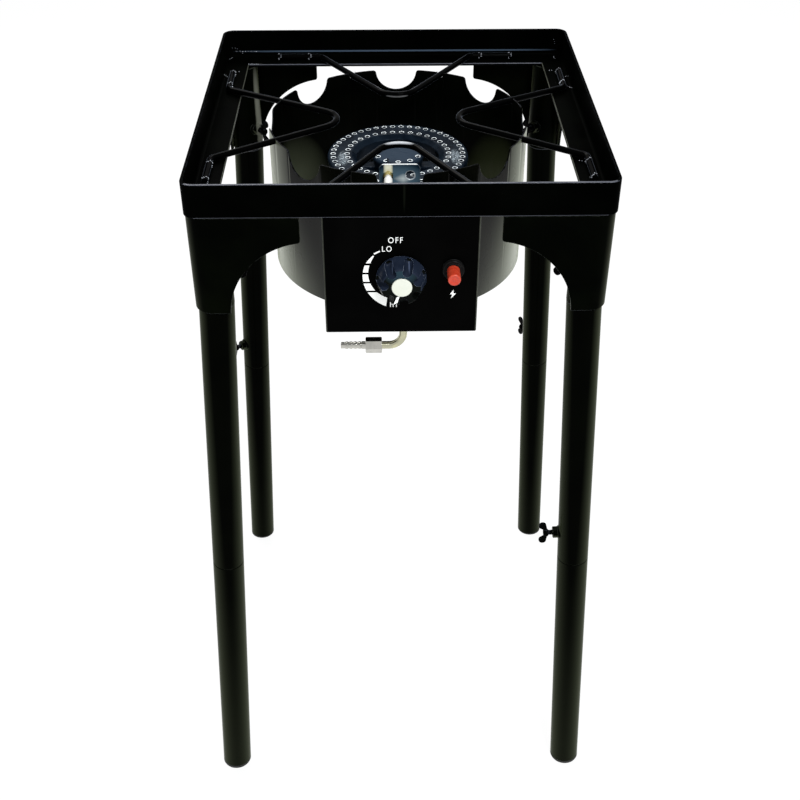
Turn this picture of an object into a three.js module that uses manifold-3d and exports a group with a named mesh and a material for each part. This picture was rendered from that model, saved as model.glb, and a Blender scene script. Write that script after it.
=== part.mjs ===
// Freestanding single-burner gas stove on four splayed, telescoping legs.
// Millimetres, +Z up, origin on the floor under the middle of the square top frame.
// Front of the stove, with the control panel and the knob, faces -Y.
import * as THREE from "three";
import { mergeVertices } from "three/addons/utils/BufferGeometryUtils.js";
import Module from "manifold-3d";

const wasm = await Module();
wasm.setup();

// Overall sizes
const stoveHeight = 815;
const frameWidth = 400;

// Gaps and fits
const seatGap = 0.3; // between pieces that touch or are welded together
const slideGap = 0.3; // round a spigot in its tube
const screwGap = 0.25; // round a screw in its nut and wall
const tipGap = 0.4; // from a screw's tip to what it clamps
const overrun = 6; // how far a cutter runs past what it cuts
const sink = 1; // how far joined features run into each other

// Top frame: a welded square of angle section, its flange turned inwards at the bottom
const frameHeight = 33.5;
const frameSheet = 3;
const flangeWidth = 29;
const frameCornerRadius = 12;
const frameFillet = 3.5;

// Pot supports: one bent rod per side, a V whose round tip points at the burner
const rodRadius = 3.25;
const rodWallDistance = 11; // from the frame's inner wall to the run along it
const rodEndMargin = 49; // from a rod's welded end to the run of its neighbour
const rodSpreadHalf = 87.5; // half the width of the V at the wall
const rodTipReach = 64; // from the middle of the stove to the tip's centre line
const rodTipBend = 23;
const rodEndBend = 9;
const rodRise = 2.5; // from the welded ends up to the tip

// Wind shield: an open drum with a scalloped top edge
const drumMargin = 65; // from the frame's outer face in to the drum
const drumSheet = 1.5;
const drumTopDrop = 23.3; // below the frame's top edge
const drumHeight = 154.7;
const notchCount = 8;
const notchRadius = 22.9;
const notchFillet = 3.6;
const rodSlotGap = 0.35;
const tubeHoleRadius = 13;

// Burner: an iron casting with a ported ring, four arms, a ported hub and a mixing chamber below
const ringTopDrop = 63.5;
const ringRadius = 75.5;
const ringEdge = 2.5; // chamfer of the ring's outer top edge
const ringLandWidth = 23.5; // flat land with the two rows of ports
const ringBevelWidth = 5.5;
const ringBevelDrop = 4.1;
const ringDepth = 22;
const ringTaper = 3;
const hubTopDrop = 62.6;
const hubRadius = 28;
const hubLipDrop = 3;
const hubLipWidth = 2.5;
const hubDepth = 20;
const chamberRadius = 24;
const chamberBottomDrop = 117;
const armWidth = 15;
const armTopDrop = 76;
const footOffset = 56;
const footRadius = 8;
const footBoltDepth = 14;
const boltRadius = 3;
const boltHeadRadius = 5.8;
const boltHeadHeight = 4;

// Straps across the drum that carry the burner's feet
const strapTopDrop = 132;
const strapSheet = 2.5;
const strapWidth = 22;
const strapTabHeight = 15;

// Gas line on the knob's axis: valve, jet, air shutter and mixing tube
const valveDrop = 98.5;
const tubeBoreRadius = 9;
const mixWall = 2;
const bellRadius = 19;
const bellDepth = 14;
const bellGap = 4; // from the drum's wall to the bell
const mouthSheet = 2;
const airWindowRadius = 4.4;
const airWindowPitch = 10.8;
const airWindowCount = 3;
const airTurn = Math.PI / 9;
const jetRadius = 4.3;
const jetTipRadius = 2.8;
const jetTipLength = 6;
const jetReach = 3; // how far the jet's tip stands into the bell
const jetHexRadius = 7;
const jetHexLength = 5;
const shutterSheet = 1.2;
const shutterRadius = 18;
const shutterTabWidth = 8;
const shutterTabHeight = 7;
const valveRadius = 13;
const valveNeckRadius = 9;
const valveNeckLength = 10;
const valveBackGap = 4; // from the jet's hexagon to the shutter's face
const inletShift = 2.5;
const inletBossRadius = 7.5;
const inletBossLength = 14;
const inletSeatDepth = 9;

// Control panel: a folded sheet, open behind and below, hung under the frame's front
const panelWidth = 147;
const panelBottomDrop = 160;
const panelSetback = 2; // behind the frame's front face
const panelDepth = 27;
const panelSheet = 1.5;
const panelBend = 2;
const stemHoleRadius = 6.5;

// Knob, its cap and the valve's stem
const knobBaseRadius = 24;
const knobFaceRadius = 19.4;
const knobLength = 18;
const knobGap = 0.6; // from the panel to the knob's skirt
const knobSkirt = 3;
const knobEdge = 1.4;
const fluteCount = 9;
const fluteRadius = 2.6;
const fluteTurn = Math.PI / 12;
const fluteMargin = 3.5;
const capRadius = 10;
const capDepth = 1.6;
const capProud = 0.5;
const stemRadius = 4;
const stemSeat = 11; // of the stem inside the knob
const stemInValve = 12;

// Igniter: push button in a threaded neck with a ring nut
const igniterShift = 49;
const igniterDrop = 89;
const igniterBodyRadius = 9.5;
const igniterBodyLength = 34;
const igniterNeckRadius = 8;
const igniterCollarRadius = 10.5;
const igniterCollarLength = 4.6;
const buttonRadius = 6.1;
const buttonReach = 22; // from the panel to the button's face
const buttonStroke = 6;
const buttonLength = 38;
const buttonEdge = 1;
const neckReach = 5.2;

// Gas inlet under the panel: bent tube, hexagon nut and barbed hose tail
const inletTubeRadius = 4;
const inletTubeWall = 1.2;
const inletBend = 14.5;
const inletDrop = 191;
const inletNutStart = 19;
const inletNutLength = 16.5;
const inletNutRadius = 8.1;
const inletNutSeat = 7.5;
const tailLength = 25;
const tailRadius = 3.3;
const tailBarbRadius = 4;
const tailBoreRadius = 2;
const tailBarbCount = 4;
const tailTipLength = 3;

// Igniter electrode and the bright plate that holds it
const plateInset = 25; // from the drum's outer face in to the plate's back
const plateSheet = 1.5;
const plateWidth = 40;
const plateCornerRadius = 5;
const plateBottomDrop = 79;
const plateHoleShift = 10.3;
const plateHoleRadius = 4.4;
const electrodeShift = -11.2;
const electrodeDrop = 35;
const electrodeRadius = 4.4;
const electrodeNeckRadius = 3;
const electrodeReach = 25; // of the ceramic in front of the plate
const electrodeBack = 9; // of the ceramic behind the plate
const electrodeNutRadius = 6.6;
const electrodeNutLength = 4;
const wireRadius = 1;
const wireTipDrop = 58;
const wireReach = 38; // from the plate's back in to the wire's tip
const wireBend = 4;

// Corner brackets: gusset sheet wrapped round a stub of tube
const bracketInset = 0; // behind the frame's outer face
const bracketSheet = 2.5;
const stubLength = 102.2;
const wingLength = 104.7;
const wingArc = 80;
const wingArcInset = 114.3;
const wingArcDrop = 3;
const wingFillet = 3;

// Legs: splayed tubes with reduced spigots at their upper ends
const tubeRadius = 17.5;
const tubeWall = 1.7;
const spigotLength = 58; // of the upper leg, inside the stub
const lowerSpigotLength = 90;
const upperLegDrop = 334; // from the stub's bottom to the mid joint
const legSplayShare = 0.05; // outward run for each unit of drop, along X and along Y
const footHead = 3.2;
const footStem = 20;
const footEdge = 1.6;

// Wing screws that clamp the spigots, with their welded nuts
const screwRadius = 3;
const nutRadius = 6.6;
const nutLength = 6.5;
const screwShow = 4.5; // bare screw between nut and head
const screwHubRadius = 4.5;
const screwHubLength = 6;
const earSpan = 29;
const earRise = 11;
const earRadius = 4.4;
const earSheet = 3;
const socketScrewRise = 28; // above the stub's bottom
const midScrewRise = 36; // above the mid joint

// Smoothness: how many sides and steps round forms are given
const tubeSides = 20;
const drumSides = 64;
const ringSides = 40;
const knobSides = 36;
const rodSides = 10;
const smallSides = 10;
const hexSides = 6;
const bendSteps = 4;
const tipSteps = 9;
const cornerSteps = 4;
const filletSteps = 2;
const notchSteps = 9;
const slotSteps = 4;
const earSteps = 5;

// Derived places, measured up from the floor
const frameTop = stoveHeight;
const frameBottom = frameTop - frameHeight;
const flangeTop = frameBottom + frameSheet;
const frameHalf = frameWidth / 2;
const wallInner = frameHalf - frameSheet;
const flangeInner = frameHalf - flangeWidth;
const drumRadius = frameHalf - drumMargin;
const drumTop = frameTop - drumTopDrop;
const drumBottom = drumTop - drumHeight;
const drumInner = drumRadius - drumSheet;
const plateDistance = drumRadius - plateInset;
const wireTipDistance = plateDistance - wireReach;
const valveAxis = frameTop - valveDrop;
const panelFront = frameHalf - panelSetback;
const panelInner = panelFront - panelSheet;
const bracketOuter = frameHalf - bracketInset;
const cornerOffset = bracketOuter - bracketSheet - tubeRadius;
const stubTop = frameBottom - seatGap;
const stubBottom = stubTop - stubLength;
const tubeBore = tubeRadius - tubeWall;
const spigotRadius = tubeBore - slideGap;
const spigotBore = spigotRadius - tubeWall;
const jointLevel = stubBottom - upperLegDrop;

// Surface finishes
const blackCoat = { color: 0x0b0c0b, roughness: 0.28, metalness: 0.1 };
const blackLeg = { color: 0x0c0e0c, roughness: 0.3, metalness: 0.1 };
const panelCoat = { color: 0x0a0a0a, roughness: 0.4, metalness: 0.1 };
const iron = { color: 0x161b26, roughness: 0.45, metalness: 0.6 };
const brightSteel = { color: 0xb9c6cf, roughness: 0.12, metalness: 1 };
const zincSteel = { color: 0xb8b08a, roughness: 0.3, metalness: 0.9 };
const brass = { color: 0xb58a3e, roughness: 0.3, metalness: 0.9 };
const ceramic = { color: 0xf4f3ee, roughness: 0.35, metalness: 0 };
const navyPlastic = { color: 0x10131f, roughness: 0.35, metalness: 0 };
const creamPlastic = { color: 0xe9e2c8, roughness: 0.4, metalness: 0 };
const redPlastic = { color: 0xd8381f, roughness: 0.3, metalness: 0 };
const rubber = { color: 0x101010, roughness: 0.8, metalness: 0 };

// Solids from closed geometries, and back
function solid(geometry) {
  const bare = geometry.clone();
  bare.deleteAttribute("normal");
  bare.deleteAttribute("uv");
  const merged = mergeVertices(bare);
  return new wasm.Manifold(
    new wasm.Mesh({
      numProp: 3,
      vertProperties: merged.attributes.position.array,
      triVerts: new Uint32Array(merged.index.array),
    }),
  );
}

function surface(body) {
  const mesh = body.getMesh();
  const geometry = new THREE.BufferGeometry();
  geometry.setAttribute("position", new THREE.BufferAttribute(mesh.vertProperties, 3));
  geometry.setIndex(new THREE.BufferAttribute(mesh.triVerts, 1));
  return geometry;
}

function join(...geometries) {
  return surface(geometries.map(solid).reduce((whole, next) => whole.add(next)));
}

function cut(body, ...tools) {
  return surface(tools.map(solid).reduce((whole, next) => whole.subtract(next), solid(body)));
}

function common(body, other) {
  return surface(solid(body).intersect(solid(other)));
}

// A solid of revolution about Z from [radius, height] pairs, listed up the outside
function turned(profile, sides = tubeSides) {
  const points = profile.map(([radius, height]) => new THREE.Vector2(radius, height));
  return new THREE.LatheGeometry(points, sides).rotateX(Math.PI / 2);
}

// A plain rod or a tube standing on Z between two heights
function rod(radius, low, high, sides = smallSides) {
  const profile = [[0, low], [radius, low], [radius, high], [0, high]];
  return turned(profile, sides);
}

function tube(outer, inner, low, high, sides = tubeSides) {
  const profile = [[inner, low], [outer, low], [outer, high], [inner, high], [inner, low]];
  return turned(profile, sides);
}

function hexNut(radius, hole, low, high) {
  return cut(rod(radius, low, high, hexSides), rod(hole, low - overrun, high + overrun));
}

// A block between two opposite corners
function block(from, to) {
  const size = to.map((value, axis) => value - from[axis]);
  const middle = to.map((value, axis) => (value + from[axis]) / 2);
  return new THREE.BoxGeometry(...size).translate(...middle);
}

// A flat outline thickened upwards from a height
function plate(shape, low, high) {
  const settings = { depth: high - low, bevelEnabled: false };
  return new THREE.ExtrudeGeometry(shape, settings).translate(0, 0, low);
}

// A square outline with round corners
function roundSquare(half, radius) {
  const shape = new THREE.Shape();
  const flat = half - radius;
  round(shape, flat, flat, radius, 0, Math.PI / 2, cornerSteps);
  round(shape, -flat, flat, radius, Math.PI / 2, Math.PI, cornerSteps);
  round(shape, -flat, -flat, radius, Math.PI, Math.PI * 1.5, cornerSteps);
  return round(shape, flat, -flat, radius, Math.PI * 1.5, Math.PI * 2, cornerSteps);
}

// A route through chosen stations, which keeps them as they are
class Route extends THREE.Curve {
  constructor(stations) {
    super();
    this.stations = stations;
  }
  getUtoTmapping(u) {
    return u;
  }
  getPoint(t) {
    const last = this.stations.length - 1;
    const index = Math.min(Math.floor(t * last + Number.EPSILON * last), last - 1);
    return this.stations[index].clone().lerp(this.stations[index + 1], t * last - index);
  }
  getTangent(t) {
    const last = this.stations.length - 1;
    const index = Math.round(t * last);
    const here = this.stations[index];
    const way = new THREE.Vector3();
    if (index > 0) way.add(here.clone().sub(this.stations[index - 1]).normalize());
    if (index < last) way.add(this.stations[index + 1].clone().sub(here).normalize());
    return way.normalize();
  }
}

// A section swept along a route
function swept(section, stations) {
  const extrudePath = new Route(stations);
  const steps = stations.length - 1;
  return new THREE.ExtrudeGeometry(section, { steps, extrudePath });
}

function roundSection(radius, sides) {
  const points = Array.from({ length: sides }, (_, index) => {
    const angle = ((index + 1 / 2) * Math.PI * 2) / sides;
    return new THREE.Vector2(radius * Math.cos(angle), radius * Math.sin(angle));
  });
  return new THREE.Shape(points);
}

// Adds an arc to an outline in a set number of straight steps
function round(shape, x, y, radius, from, to, steps) {
  for (let step = 0; step <= steps; step++) {
    const angle = from + ((to - from) * step) / steps;
    const first = shape.curves.length === 0 && shape.currentPoint.lengthSq() === 0 && step === 0;
    const way = first ? "moveTo" : "lineTo";
    shape[way](x + radius * Math.cos(angle), y + radius * Math.sin(angle));
  }
  return shape;
}

// Stations round a bend between two straight legs, from corner points
function bent(before, corner, after, radius, steps) {
  const back = before.clone().sub(corner).normalize();
  const ahead = after.clone().sub(corner).normalize();
  const half = back.angleTo(ahead) / 2;
  const middle = back.clone().add(ahead).normalize();
  const centre = corner.clone().addScaledVector(middle, radius / Math.sin(half));
  const start = corner.clone().addScaledVector(back, radius / Math.tan(half)).sub(centre);
  const axis = back.clone().cross(start).normalize();
  const sweep = Math.PI - 2 * half;
  const stations = [];
  for (let step = 0; step <= steps; step++) {
    stations.push(start.clone().applyAxisAngle(axis, (sweep * step) / steps).add(centre));
  }
  return stations;
}

// Scene graph
const group = new THREE.Group();

function mesh(name, geometry, finish, parent = group) {
  const made = new THREE.Mesh(geometry, new THREE.MeshStandardMaterial(finish));
  made.name = name;
  parent.add(made);
  return made;
}

// A group whose local +Z looks out of the stove's front, with local +Y up
function facingFront(x, z) {
  const holder = new THREE.Group();
  holder.position.set(x, 0, z);
  holder.rotation.x = Math.PI / 2;
  group.add(holder);
  return holder;
}

// Top frame
function topFrame() {
  const outer = plate(roundSquare(frameHalf, frameCornerRadius), frameBottom, frameTop);
  const cavityShape = roundSquare(wallInner, frameCornerRadius - frameSheet);
  const cavity = new THREE.ExtrudeGeometry(cavityShape, {
    depth: frameHeight + overrun,
    bevelThickness: frameFillet,
    bevelSize: frameFillet,
    bevelOffset: -frameFillet,
    bevelSegments: 2,
  }).translate(0, 0, flangeTop + frameFillet);
  const opening = block(
    [-flangeInner, -flangeInner, frameBottom - overrun],
    [flangeInner, flangeInner, frameTop],
  );
  return cut(outer, cavity, opening);
}
mesh("top_frame", topFrame(), blackCoat);

// Pot supports
const rodRun = wallInner - rodWallDistance;
const rodRunHalf = rodRun - rodEndMargin;
const rodSeatLevel = flangeTop + seatGap + rodRadius;
const tipCentre = rodTipReach + rodTipBend;
const tipSpan = Math.hypot(rodRun - tipCentre, rodSpreadHalf);
const rodLean = Math.atan2(rodSpreadHalf, rodRun - tipCentre) - Math.asin(rodTipBend / tipSpan);

function rodLevel(reach) {
  return rodSeatLevel + (rodRise * (rodRun - reach)) / (rodRun - rodTipReach);
}

function potSupport() {
  const end = new THREE.Vector3(rodRun, rodRunHalf, rodSeatLevel);
  const corner = new THREE.Vector3(rodRun, rodSpreadHalf, rodSeatLevel);
  const tip = [];
  for (let step = 0; step <= tipSteps; step++) {
    const turn = Math.PI / 2 + rodLean + ((Math.PI - 2 * rodLean) * step) / tipSteps;
    const reach = tipCentre + rodTipBend * Math.cos(turn);
    tip.push(new THREE.Vector3(reach, rodTipBend * Math.sin(turn), rodLevel(reach)));
  }
  const bend = bent(end, corner, tip[0], rodEndBend, bendSteps);
  const mirrored = [end, ...bend].map((p) => new THREE.Vector3(p.x, -p.y, p.z)).reverse();
  return swept(roundSection(rodRadius, rodSides), [end, ...bend, ...tip, ...mirrored]);
}

["right", "back", "left", "front"].forEach((side, turn) => {
  const support = mesh("pot_support_" + side, potSupport(), blackCoat);
  support.rotation.z = (turn * Math.PI) / 2;
});

// Wind shield: the drum, its scallops, the slots that the rods lie in and the mixing tube's hole
function notchCutter() {
  const shape = new THREE.Shape();
  const reach = notchRadius + notchFillet;
  const side = Math.sqrt(reach * reach - notchFillet * notchFillet);
  const dip = Math.asin(notchFillet / reach);
  shape.moveTo(side, overrun);
  round(shape, side, -notchFillet, notchFillet, Math.PI / 2, Math.PI - dip, filletSteps);
  round(shape, 0, 0, notchRadius, -dip, -Math.PI + dip, notchSteps);
  round(shape, -side, -notchFillet, notchFillet, dip, Math.PI / 2, filletSteps);
  shape.lineTo(-side, overrun);
  const radial = plate(shape, drumInner - overrun, drumRadius + overrun);
  return radial.rotateX(Math.PI / 2).translate(0, 0, drumTop);
}

function slotCutter(side) {
  const shape = new THREE.Shape();
  const half = rodRadius + rodSlotGap;
  shape.moveTo(-half, frameHeight);
  round(shape, 0, 0, half, Math.PI, Math.PI * 2, slotSteps);
  shape.lineTo(half, frameHeight);
  const length = rodTipBend + rodRadius;
  const cutter = plate(shape, -length, length).rotateX(Math.PI / 2).rotateZ(Math.PI / 2);
  const place = rodCrossing();
  return cutter.rotateZ(side * rodLean).translate(place.reach, side * place.spread, rodLevel(place.reach));
}

// Where a rod's straight leg crosses the drum's wall
function rodCrossing() {
  const slope = Math.tan(rodLean);
  const apex = rodRun - rodSpreadHalf / slope;
  const square = 1 + slope * slope;
  const linear = slope * slope * apex;
  const rest = slope * slope * apex * apex - drumRadius * drumRadius;
  const reach = (linear + Math.sqrt(linear * linear - square * rest)) / square;
  return { reach, spread: slope * (reach - apex) };
}

function windShield() {
  const wall = tube(drumRadius, drumInner, drumBottom, drumTop, drumSides);
  const cutters = [];
  for (let count = 0; count < notchCount; count++) {
    cutters.push(notchCutter().rotateZ((count * Math.PI * 2) / notchCount));
  }
  for (let quarter = 0; quarter < 4; quarter++) {
    cutters.push(slotCutter(1).rotateZ((quarter * Math.PI) / 2));
    cutters.push(slotCutter(-1).rotateZ((quarter * Math.PI) / 2));
  }
  const hole = rod(tubeHoleRadius, drumInner - drumRadius / 2, drumRadius + overrun, tubeSides);
  cutters.push(hole.rotateX(Math.PI / 2).translate(0, 0, valveAxis));
  return cut(wall, ...cutters);
}
mesh("wind_shield", windShield(), blackCoat);

// Burner casting
const ringTop = frameTop - ringTopDrop;
const hubTop = frameTop - hubTopDrop;
const armTop = frameTop - armTopDrop;
const strapTop = frameTop - strapTopDrop;
const chamberBottom = frameTop - chamberBottomDrop;
const ringInner = ringRadius - ringEdge - ringLandWidth - ringBevelWidth;
const feet = [-footOffset, footOffset];

function burner() {
  const ringBottom = ringTop - ringDepth;
  const ring = turned(
    [
      [ringInner + ringTaper, ringBottom],
      [ringRadius - ringTaper, ringBottom],
      [ringRadius, ringTop - ringEdge],
      [ringRadius - ringEdge, ringTop],
      [ringInner + ringBevelWidth, ringTop],
      [ringInner, ringTop - ringBevelDrop],
      [ringInner + ringTaper, ringBottom],
    ],
    ringSides,
  );
  const hubBottom = hubTop - hubDepth;
  const hub = turned(
    [
      [0, chamberBottom],
      [chamberRadius, chamberBottom],
      [chamberRadius, hubBottom],
      [hubRadius, hubTop - hubLipDrop],
      [hubRadius - hubLipWidth, hubTop],
      [0, hubTop],
    ],
    ringSides,
  );
  const armReach = footOffset;
  const half = armWidth / 2;
  const armLow = valveAxis + tubeBoreRadius + mixWall + seatGap;
  const across = block([-armReach, -half, armLow], [armReach, half, armTop]);
  const along = block([-half, -armReach, armLow], [half, armReach, armTop]);
  const posts = feet.map((x) => {
    return rod(footRadius, strapTop + seatGap, armTop - sink).translate(x, 0, 0);
  });
  const holes = feet.map((x) => {
    const top = strapTop + seatGap + footBoltDepth;
    return rod(boltRadius + screwGap, strapTop - overrun, top).translate(x, 0, 0);
  });
  return cut(join(ring, hub, across, along, ...posts), ...holes);
}
mesh("burner", burner(), iron);

// Straps and the bolts that hold the burner's feet to them
function strap(x) {
  const reach = drumInner - seatGap;
  const half = strapWidth / 2;
  const low = strapTop - strapSheet;
  const bar = block([x - half, -drumRadius, low], [x + half, drumRadius, strapTop]);
  const floor = common(bar, rod(reach, low - sink, strapTop + sink, drumSides));
  const column = block([x - half, -drumRadius, low], [x + half, drumRadius, low + strapTabHeight]);
  const ends = common(column, tube(reach, reach - strapSheet, low, low + strapTabHeight, drumSides));
  const hole = rod(boltRadius + screwGap, low - overrun, strapTop + overrun).translate(x, 0, 0);
  return cut(join(floor, ends), hole);
}

function burnerBolt(x) {
  const headTop = strapTop - strapSheet - seatGap;
  const headLow = headTop - boltHeadHeight;
  const tip = strapTop + footBoltDepth - sink;
  const head = rod(boltHeadRadius, headLow, headTop, hexSides);
  return join(head, rod(boltRadius, headLow + sink, tip)).translate(x, 0, 0);
}

["left", "right"].forEach((side, index) => {
  mesh("burner_strap_" + side, strap(feet[index]), blackCoat);
  mesh("burner_bolt_" + side, burnerBolt(feet[index]), brightSteel);
});

// Mixing tube with its bell, the air shutter and the jet, along the knob's axis
const gasLine = facingFront(0, valveAxis);
const bellBack = drumRadius + bellGap;
const bellFront = bellBack + bellDepth;
const shutterBack = bellFront + seatGap;
const shutterFront = shutterBack + shutterSheet;
const jetHexBack = shutterFront + valveBackGap;
const valveBack = jetHexBack + jetHexLength;
const jetHole = jetRadius + screwGap;

function windows(turn, low, high) {
  return Array.from({ length: airWindowCount }, (_, index) => {
    const angle = turn + (index * Math.PI * 2) / airWindowCount;
    const hole = rod(airWindowRadius, low - overrun, high + overrun);
    return hole.translate(airWindowPitch * Math.cos(angle), airWindowPitch * Math.sin(angle), 0);
  });
}

function mixingTube() {
  const outer = tubeBoreRadius + mixWall;
  const bellInner = bellRadius - mixWall;
  const mouthBack = bellFront - mouthSheet;
  const body = turned([
    [tubeBoreRadius, chamberRadius + seatGap],
    [outer, chamberRadius + seatGap],
    [outer, bellBack - bellGap / 2],
    [bellRadius, bellBack + mixWall],
    [bellRadius, bellFront],
    [jetHole, bellFront],
    [jetHole, mouthBack],
    [bellInner, mouthBack],
    [bellInner, bellBack + 2 * mixWall],
    [tubeBoreRadius, bellBack],
    [tubeBoreRadius, chamberRadius + seatGap],
  ]);
  const cutters = windows(Math.PI / 2, mouthBack, bellFront);
  return cut(body, ...cutters);
}
mesh("mixing_tube", mixingTube(), iron, gasLine);

function airShutter() {
  const disc = tube(shutterRadius, jetHole, shutterBack, shutterFront);
  const half = shutterTabWidth / 2;
  const top = shutterRadius + shutterTabHeight;
  const tab = block([-half, shutterRadius - sink * 2, shutterBack], [half, top, shutterFront]);
  return cut(join(disc, tab), ...windows(Math.PI / 2 + airTurn, shutterBack, shutterFront));
}
mesh("air_shutter", airShutter(), zincSteel, gasLine);

function gasJet() {
  const tip = bellFront - mouthSheet - jetReach;
  const barrel = turned(
    [
      [0, tip],
      [jetTipRadius, tip],
      [jetRadius, tip + jetTipLength],
      [jetRadius, valveBack - seatGap],
      [0, valveBack - seatGap],
    ],
    smallSides,
  );
  const hex = rod(jetHexRadius, jetHexBack, valveBack - seatGap, hexSides);
  return join(barrel, hex);
}
mesh("gas_jet", gasJet(), brass, gasLine);

// Valve body with its bore for the stem and its inlet boss
const inletDistance = valveBack + (panelInner - valveNeckLength - valveBack) / 2;
const bossLow = valveRadius + inletBossLength;

function valveBody() {
  const neckFront = panelInner - seatGap;
  const shoulder = neckFront - valveNeckLength;
  const body = turned([
    [0, valveBack],
    [valveRadius, valveBack],
    [valveRadius, shoulder],
    [valveNeckRadius, shoulder],
    [valveNeckRadius, neckFront],
    [0, neckFront],
  ]);
  const boss = rod(inletBossRadius, -bossLow, 0).rotateX(-Math.PI / 2);
  const seat = rod(inletTubeRadius + screwGap, -bossLow - overrun, inletSeatDepth - bossLow);
  const bore = rod(stemRadius + screwGap, neckFront - stemInValve - seatGap, neckFront + overrun);
  boss.translate(inletShift, 0, inletDistance);
  seat.rotateX(-Math.PI / 2).translate(inletShift, 0, inletDistance);
  return cut(join(body, boss), bore, seat);
}
mesh("valve_body", valveBody(), brass, gasLine);

// Knob with capsule flutes round its tapered side, its cap and the stem
const knobBack = panelFront + knobGap;
const knobFront = knobBack + knobLength;

function knob() {
  const side = knobBack + knobSkirt;
  const recess = knobFront - capDepth;
  const body = turned(
    [
      [0, knobBack],
      [knobBaseRadius, knobBack],
      [knobBaseRadius, side],
      [knobFaceRadius, knobFront - knobEdge],
      [knobFaceRadius - knobEdge, knobFront],
      [capRadius + screwGap, knobFront],
      [capRadius + screwGap, recess],
      [0, recess],
    ],
    knobSides,
  );
  const rise = knobFront - knobEdge - side;
  const slant = Math.atan2(knobBaseRadius - knobFaceRadius, rise);
  const straight = rise - 2 * fluteMargin;
  const flutes = Array.from({ length: fluteCount }, (_, index) => {
    const flute = new THREE.CapsuleGeometry(fluteRadius, straight, 2, 8);
    const middle = (knobBaseRadius + knobFaceRadius) / 2 + fluteRadius / 3;
    flute.rotateX(Math.PI / 2 + slant).translate(0, middle, side + rise / 2);
    return flute.rotateZ(-fluteTurn - (index * Math.PI * 2) / fluteCount);
  });
  const socket = rod(stemRadius + screwGap, knobBack - overrun, knobBack + stemSeat + seatGap);
  return cut(body, ...flutes, socket);
}
mesh("knob", knob(), navyPlastic, gasLine);

function knobCap() {
  const low = knobFront - capDepth + seatGap;
  const high = knobFront + capProud;
  return turned([[0, low], [capRadius, low], [capRadius, knobFront], [capRadius - capProud, high], [0, high]]);
}
mesh("knob_cap", knobCap(), creamPlastic, gasLine);
const stemBack = panelInner - seatGap - stemInValve;
mesh("valve_stem", rod(stemRadius, stemBack, knobBack + stemSeat), zincSteel, gasLine);

// Control panel
const panelTop = frameBottom - seatGap;
const panelBottom = frameTop - panelBottomDrop;

function controlPanel() {
  const half = panelWidth / 2;
  const back = panelDepth - panelFront;
  const shape = new THREE.Shape();
  const bend = panelBend;
  shape.moveTo(half, back);
  shape.lineTo(-half, back);
  round(shape, bend - half, bend - panelFront, bend, Math.PI, Math.PI * 1.5, filletSteps);
  round(shape, half - bend, bend - panelFront, bend, Math.PI * 1.5, Math.PI * 2, filletSteps);
  const outer = plate(shape, panelBottom, panelTop);
  const within = half - panelSheet;
  const inside = block(
    [-within, -panelInner, panelBottom - overrun],
    [within, back + overrun, panelTop - panelSheet],
  );
  const deep = panelFront + overrun;
  const near = panelInner - overrun;
  const stemHole = rod(stemHoleRadius, near, deep).rotateX(Math.PI / 2);
  const neckHole = rod(igniterNeckRadius + seatGap, near, deep, tubeSides).rotateX(Math.PI / 2);
  return cut(
    outer,
    inside,
    stemHole.translate(0, 0, valveAxis),
    neckHole.translate(igniterShift, 0, frameTop - igniterDrop),
  );
}
mesh("control_panel", controlPanel(), panelCoat);

// Igniter body, ring nut and button
const igniterLine = facingFront(igniterShift, frameTop - igniterDrop);
const buttonFront = panelFront + buttonReach;
const buttonBack = buttonFront - buttonLength;
const neckFront = panelFront + neckReach;

function igniterBody() {
  const shoulder = panelInner - seatGap;
  const back = shoulder - igniterBodyLength;
  const bore = buttonRadius + seatGap;
  const boreEnd = buttonBack - buttonStroke - sink;
  return turned([
    [0, back],
    [igniterBodyRadius, back],
    [igniterBodyRadius, shoulder],
    [igniterNeckRadius, shoulder],
    [igniterNeckRadius, neckFront],
    [bore, neckFront],
    [bore, boreEnd],
    [0, boreEnd],
  ]);
}
mesh("igniter_body", igniterBody(), panelCoat, igniterLine);

function igniterCollar() {
  const low = panelFront + seatGap;
  return tube(igniterCollarRadius, igniterNeckRadius + seatGap, low, low + igniterCollarLength);
}
mesh("igniter_collar", igniterCollar(), panelCoat, igniterLine);

function igniterButton() {
  return turned([
    [0, buttonBack],
    [buttonRadius, buttonBack],
    [buttonRadius, buttonFront - buttonEdge],
    [buttonRadius - buttonEdge, buttonFront],
    [0, buttonFront],
  ]);
}
mesh("igniter_button", igniterButton(), redPlastic, igniterLine);

// Gas inlet
const inletLevel = frameTop - inletDrop;

function inletElbow() {
  const top = new THREE.Vector3(inletShift, -inletDistance, valveAxis - bossLow + inletSeatDepth - seatGap);
  const corner = new THREE.Vector3(inletShift, -inletDistance, inletLevel);
  const end = new THREE.Vector3(-inletNutStart - inletNutSeat, -inletDistance, inletLevel);
  const section = roundSection(inletTubeRadius, rodSides);
  section.holes.push(roundSection(inletTubeRadius - inletTubeWall, rodSides));
  const stations = [top, ...bent(top, corner, end, inletBend, bendSteps + 1), end];
  return swept(section, stations);
}
mesh("inlet_elbow", inletElbow(), zincSteel);

// The inlet's horizontal run points to -X
const inletRun = new THREE.Group();
inletRun.position.set(-inletNutStart, -inletDistance, inletLevel);
inletRun.rotation.y = -Math.PI / 2;
group.add(inletRun);
const nutBore = inletTubeRadius + screwGap;
mesh("inlet_nut", hexNut(inletNutRadius, nutBore, 0, inletNutLength), zincSteel, inletRun);

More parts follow.
